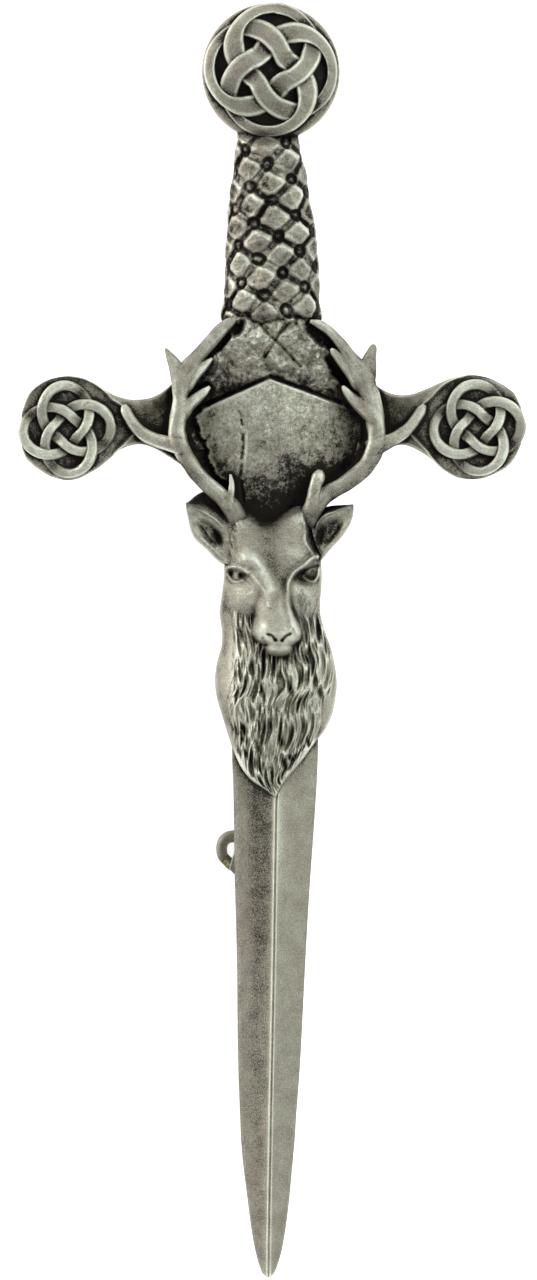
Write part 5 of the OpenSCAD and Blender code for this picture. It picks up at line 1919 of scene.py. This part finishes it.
@dataclass
class ExposureMap:
    """Tells how far each place stands above or below the metal around it.

    The heights of all the casting's skins are laid on one grid, highest first, and blurred at
    three widths. A place's exposure is the sum of its heights above those blurred grounds.
    """

    pitch: float = 0.09
    size: tuple[int, int] = (1200, 500)
    widths: tuple[float, ...] = (0.22, 0.6, 1.5)
    gains: tuple[float, ...] = (2.5, 0.6, 0.08)

    def cell(self, x: Array, y: Array) -> tuple[Array, Array]:
        """Row and column of the grid for each place.

        Args:
            x: millimetres to the right.
            y: millimetres up.

        Returns:
            The rows and the columns.
        """
        rows, columns = self.size
        j = np.clip(np.round(x / self.pitch).astype(int) + columns // 2, 0, columns - 1)
        i = np.clip(np.round(y / self.pitch).astype(int) + rows // 2, 0, rows - 1)
        return i, j

    def lay(self, skins: list[Skin]) -> None:
        """Lays the skins' faces on the grid and blurs it.

        Args:
            skins: the casting's skins.
        """
        grid = np.zeros(self.size)
        shares = (np.arange(4) + 0.5) / 4
        for skin in skins:
            a, b, c, d = (skin.points[skin.quads[:, k]] for k in range(4))
            for s in shares:
                low = mix(a, b, s)
                high = mix(d, c, s)
                for t in shares:
                    p = mix(low, high, t)
                    i, j = self.cell(p[:, 0], p[:, 1])
                    np.maximum.at(grid, (i, j), p[:, 2])
        filled = (grid > 0.05).astype(float)
        self.cover = self.blur(filled, 0.3)
        self.grounds = [self.blur(grid, w) / np.maximum(self.blur(filled, w), 1e-3) for w in self.widths]

    def blur(self, grid: Array, width: float) -> Array:
        """Gaussian blur of the grid, by its spectrum.

        Args:
            grid: the grid.
            width: the blur's width in millimetres.

        Returns:
            The blurred grid.
        """
        rows, columns = self.size
        fy = np.fft.fftfreq(rows)[:, None]
        fx = np.fft.rfftfreq(columns)[None, :]
        sigma = width / self.pitch
        gain = np.exp(-2 * (math.pi * sigma) ** 2 * (fx * fx + fy * fy))
        return np.fft.irfft2(np.fft.rfft2(grid) * gain, s=self.size)

    def read(self, skin: Skin, share: float) -> Array:
        """Exposure of each of a skin's points, neutral along the casting's outer walls.

        Args:
            skin: the skin.
            share: how strongly this piece took the patina.

        Returns:
            The exposures, from -1.5 to 1.5.
        """
        i, j = self.cell(skin.points[:, 0], skin.points[:, 1])
        h = skin.points[:, 2]
        value = sum(gain * (h - ground[i, j]) for gain, ground in zip(self.gains, self.grounds))
        inner = smooth(0.6, 0.9, self.cover[i, j]) * smooth(0.3, 0.6, h)
        return np.clip(mix(0.12, share * value, inner), -1.5, 1.5)


@dataclass
class Workshop:
    """Turns skins into dressed Blender pieces."""

    materials: dict[Slot, bpy.types.Material]

    def piece(
        self, name: str, skin: Skin, slot: Slot, node: str, exposure: Array, lift: float, crease: float
    ) -> bpy.types.Object:
        """Makes one piece.

        Args:
            name: the piece's name.
            skin: its skin.
            slot: the record's slot.
            node: the CAD node that it stands for.
            exposure: how exposed each point is.
            lift: height of the skin's zero above the floor.
            crease: angle in degrees above which an edge stays sharp.

        Returns:
            The object, riding on the part's only body.
        """
        mesh = bpy.data.meshes.new(name)
        points = skin.points + np.array([0.0, 0.0, lift])
        four = len(skin.quads)
        three = len(skin.tris)
        mesh.vertices.add(len(points))
        mesh.vertices.foreach_set("co", (points * METRES).astype(np.float32).ravel())
        mesh.loops.add(4 * four + 3 * three)
        order = np.concatenate([skin.quads.ravel(), skin.tris.ravel()])
        mesh.loops.foreach_set("vertex_index", order.astype(np.int32))
        mesh.polygons.add(four + three)
        starts = np.concatenate([np.arange(four) * 4, 4 * four + np.arange(three) * 3])
        mesh.polygons.foreach_set("loop_start", starts.astype(np.int32))
        mesh.update(calc_edges=True)
        mesh.validate()
        mesh.polygons.foreach_set("use_smooth", np.ones(len(mesh.polygons), bool))
        mesh.set_sharp_from_angle(angle=math.radians(crease))
        for label, values in (("exposure", exposure), ("stain_and_shading", skin.stain_and_shading)):
            attribute = mesh.attributes.new(label, "FLOAT", "POINT")
            attribute.data.foreach_set("value", values.astype(np.float32))
        mesh.materials.append(self.materials[slot])
        piece = bpy.data.objects.new(name, mesh)
        bpy.context.scene.collection.objects.link(piece)
        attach(piece, "root")
        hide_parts(node)
        LOG.info("%s: %d points, %d faces", name, len(points), four + three)
        return piece


@dataclass(frozen=True)
class SoftBox:
    """A square studio light that looks at the object's middle."""

    name: str
    azimuth: float
    elevation: float
    distance: float
    width: float
    power: float
    colour: tuple[float, float, float] = (1.0, 1.0, 1.0)

    def build(self) -> None:
        """Makes the light at its place round the object."""
        a = math.radians(self.azimuth)
        e = math.radians(self.elevation)
        light = bpy.data.lights.new(self.name, "AREA")
        light.shape = "SQUARE"
        light.size = self.width
        light.energy = self.power
        light.color = self.colour
        lamp = bpy.data.objects.new(self.name, light)
        bpy.context.scene.collection.objects.link(lamp)
        way = np.array([math.sin(a) * math.cos(e), math.cos(a) * math.cos(e), math.sin(e)])
        lamp.location = tuple(way * self.distance)
        lamp.rotation_mode = "QUATERNION"
        lamp.rotation_quaternion = lamp.location.to_track_quat("Z", "Y")


@dataclass
class Studio:
    """Pale floor, soft light and the camera straight above the object."""

    lens: float = 500.0
    sensor: float = 36.0
    view_height: float = 0.10534
    middle_x: float = -0.00022
    plane_z: float = 0.007
    floor_width: float = 1.6
    sky: tuple[float, float, float] = (0.93, 0.97, 1.0)
    sky_strength: float = 0.3
    lights: tuple[SoftBox, ...] = (
        SoftBox("low_left", -70.0, 18.0, 0.8, 0.5, 3.3, (1.0, 0.98, 0.93)),
        SoftBox("high_right", 75.0, 50.0, 0.8, 0.5, 2.8, (0.92, 1.0, 0.95)),
        SoftBox("top", 10.0, 32.0, 0.9, 0.5, 1.6, (1.0, 1.0, 1.0)),
        SoftBox("low_front", 185.0, 26.0, 0.9, 0.5, 1.2, (1.0, 0.98, 0.95)),
    )

    def floor(self) -> None:
        """A plain pale floor under the object."""
        half = self.floor_width / 2
        side = np.linspace(-half, half, 9)
        x, y = np.meshgrid(side, side)
        points = np.column_stack([x.ravel(), y.ravel(), np.zeros(81)])
        i, j = np.meshgrid(np.arange(8), np.arange(8), indexing="ij")
        a = (i * 9 + j).ravel()
        faces = np.stack([a, a + 1, a + 10, a + 9], axis=1)
        mesh = bpy.data.meshes.new("floor")
        mesh.from_pydata(points.tolist(), [], faces.tolist())
        floor = bpy.data.objects.new("floor", mesh)
        bpy.context.scene.collection.objects.link(floor)
        material = bpy.data.materials.new("pale_floor")
        material.use_nodes = True
        shader = material.node_tree.nodes["Principled BSDF"]
        shader.inputs["Base Color"].default_value = (0.92, 0.92, 0.92, 1.0)
        shader.inputs["Roughness"].default_value = 0.9
        shader.inputs["Specular IOR Level"].default_value = 0.1
        shader.inputs["Emission Color"].default_value = (1.0, 1.0, 1.0, 1.0)
        shader.inputs["Emission Strength"].default_value = 0.75
        mesh.materials.append(material)

    def camera(self) -> None:
        """A long lens straight above the middle of the photographed frame."""
        data = bpy.data.cameras.new("camera")
        data.lens = self.lens
        data.sensor_width = self.sensor
        data.clip_start = 0.01
        data.clip_end = 20.0
        camera = bpy.data.objects.new("camera", data)
        bpy.context.scene.collection.objects.link(camera)
        distance = self.view_height * self.lens / self.sensor
        camera.location = (self.middle_x, 0.0, self.plane_z + distance)
        bpy.context.scene.camera = camera

    def build(self) -> None:
        """Sets up floor, sky, lights and camera."""
        self.floor()
        world = bpy.data.worlds.new("studio")
        world.use_nodes = True
        sky = world.node_tree.nodes["Background"]
        sky.inputs["Color"].default_value = (*self.sky, 1.0)
        sky.inputs["Strength"].default_value = self.sky_strength
        bpy.context.scene.world = world
        for light in self.lights:
            light.build()
        self.camera()
        bpy.context.scene.view_settings.view_transform = "Standard"


GUARD_KNOT = {"width": 0.84, "squareness": 3.0, "ground": 1.95, "dome": 0.0, "rise": 0.72, "weave": 0.36}
LEFT_KNOT = Knot((67.2, 429.4), 44.0, 12.5, turn_deg=5.0, lobe=0.19, **GUARD_KNOT)
RIGHT_KNOT = Knot((477.4, 427.8), 43.6, 13.0, turn_deg=5.0, lobe=0.12, **GUARD_KNOT)
POMMEL_KNOT = Knot(
    centre_px=(270.8, 69.8), outer_px=61.8, inner_px=18.2, turn_deg=84.0, width=0.95, squareness=3.4,
    ground=2.35, dome=1.0, rise=0.66, weave=0.26, inner_width=1.8, plateau=0.14, lip=0.05, stain_and_shading=0.3,
    wear_and_highlight=1.1, dive_stain=0.4, outer_squareness=2.3, outer_shoulder=0.42, steps=720, places=25,
)
LEFT_EAR = Ear(
    lower_px=((231, 566), (221, 563), (207, 550), (193, 536), (188.2, 519.5), (186, 506), (186, 503)),
    rim_px=((234, 541), (224.6, 527.6), (217.6, 520.4), (207, 513.4), (197, 508.6), (189, 505), (186.4, 503)),
    upper_px=((238, 520), (231, 505), (216, 494), (204, 491.6), (195, 496), (188.6, 501.4), (186.6, 502.6)),
    cup_px=(210.5, 533.5, 18.5, 8.5, 51.6), hollow_px=(218.5, 537, 7.5, 4.0, 62), top_h=4.0, seed=301,
)
RIGHT_EAR = Ear(
    lower_px=((316, 566), (321, 561), (331, 549), (342, 536.8), (351.4, 521.6), (353.8, 508), (353.4, 504.6)),
    rim_px=((314, 550), (315, 536), (317.4, 523), (323, 516), (335, 511), (345, 507.6), (353, 504.8)),
    upper_px=((306, 526), (312, 515), (318, 510), (330, 506), (340.6, 505), (349, 504.6), (352.8, 504.2)),
    cup_px=(330, 531.5, 19, 11, -52), hollow_px=(318.5, 534, 15, 4.2, -82), top_h=4.0, seed=311,
    cup_stain=0.55, sink=1.2,
)
PATINA_SHARE = {"blade": 0.25, "guard": 0.7, "antler_left": 0.75, "antler_right": 0.75}
FITTING_CREASE = 40.0


def casting_skins() -> dict[str, tuple[Skin, float]]:
    """Every piece of the casting with the angle above which its edges stay sharp.

    Each piece's flat back lies a hair above that of the piece before, so that no two of them
    share a plane.

    Returns:
        Each piece's name with its skin and its angle in degrees.
    """
    pieces = {
        "blade": (Blade().skin(), 38.0),
        "guard": (Guard().skin(), 45.0),
        "guard_knot_left": (LEFT_KNOT.skin(), 60.0),
        "guard_knot_right": (RIGHT_KNOT.skin(), 60.0),
        "pommel": (Pommel().skin(), 50.0),
        "pommel_knot": (POMMEL_KNOT.skin(), 48.0),
        "grip": (Grip().skin(), 60.0),
        "ground": (Ground().skin(), 60.0),
        "head": (Head().skin(), 60.0),
        "ear_left": (LEFT_EAR.skin(), 60.0),
        "ear_right": (RIGHT_EAR.skin(), 60.0),
        "antler_left": (LEFT_ANTLER.skin(), 60.0),
        "antler_right": (RIGHT_ANTLER.skin(), 60.0),
    }
    for k, (skin, _) in enumerate(pieces.values()):
        skin.points[:, 2] += BACK_STEP * k * (skin.points[:, 2] < 0.2)
    return pieces


def main() -> None:
    """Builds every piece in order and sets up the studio."""
    logging.basicConfig(level=logging.INFO, format="%(message)s")
    grain = cast_grain_group()
    patina = patina_group()
    workshop = Workshop({
        Slot.PEWTER: PEWTER.build(grain, patina),
        Slot.STEEL: STEEL.build(grain, patina),
        Slot.NICKEL: NICKEL.build(grain, patina),
    })
    skins = casting_skins()
    exposure = ExposureMap()
    exposure.lay([skin for skin, _ in skins.values()])
    for name, (skin, crease) in skins.items():
        share = PATINA_SHARE.get(name, 1.0)
        workshop.piece(name, skin, Slot.PEWTER, "casting", exposure.read(skin, share), BACK_H, crease)
    for name, skin, slot, node in (
        ("spring_pin", SpringPin().skin(), Slot.STEEL, "pin"),
        ("catch_wire_and_pad", Catch().skin(), Slot.NICKEL, "catch"),
    ):
        workshop.piece(name, skin, slot, node, np.zeros(len(skin.points)), 0.0, FITTING_CREASE)
    Studio().build()


if __name__ == "__main__":
    main()
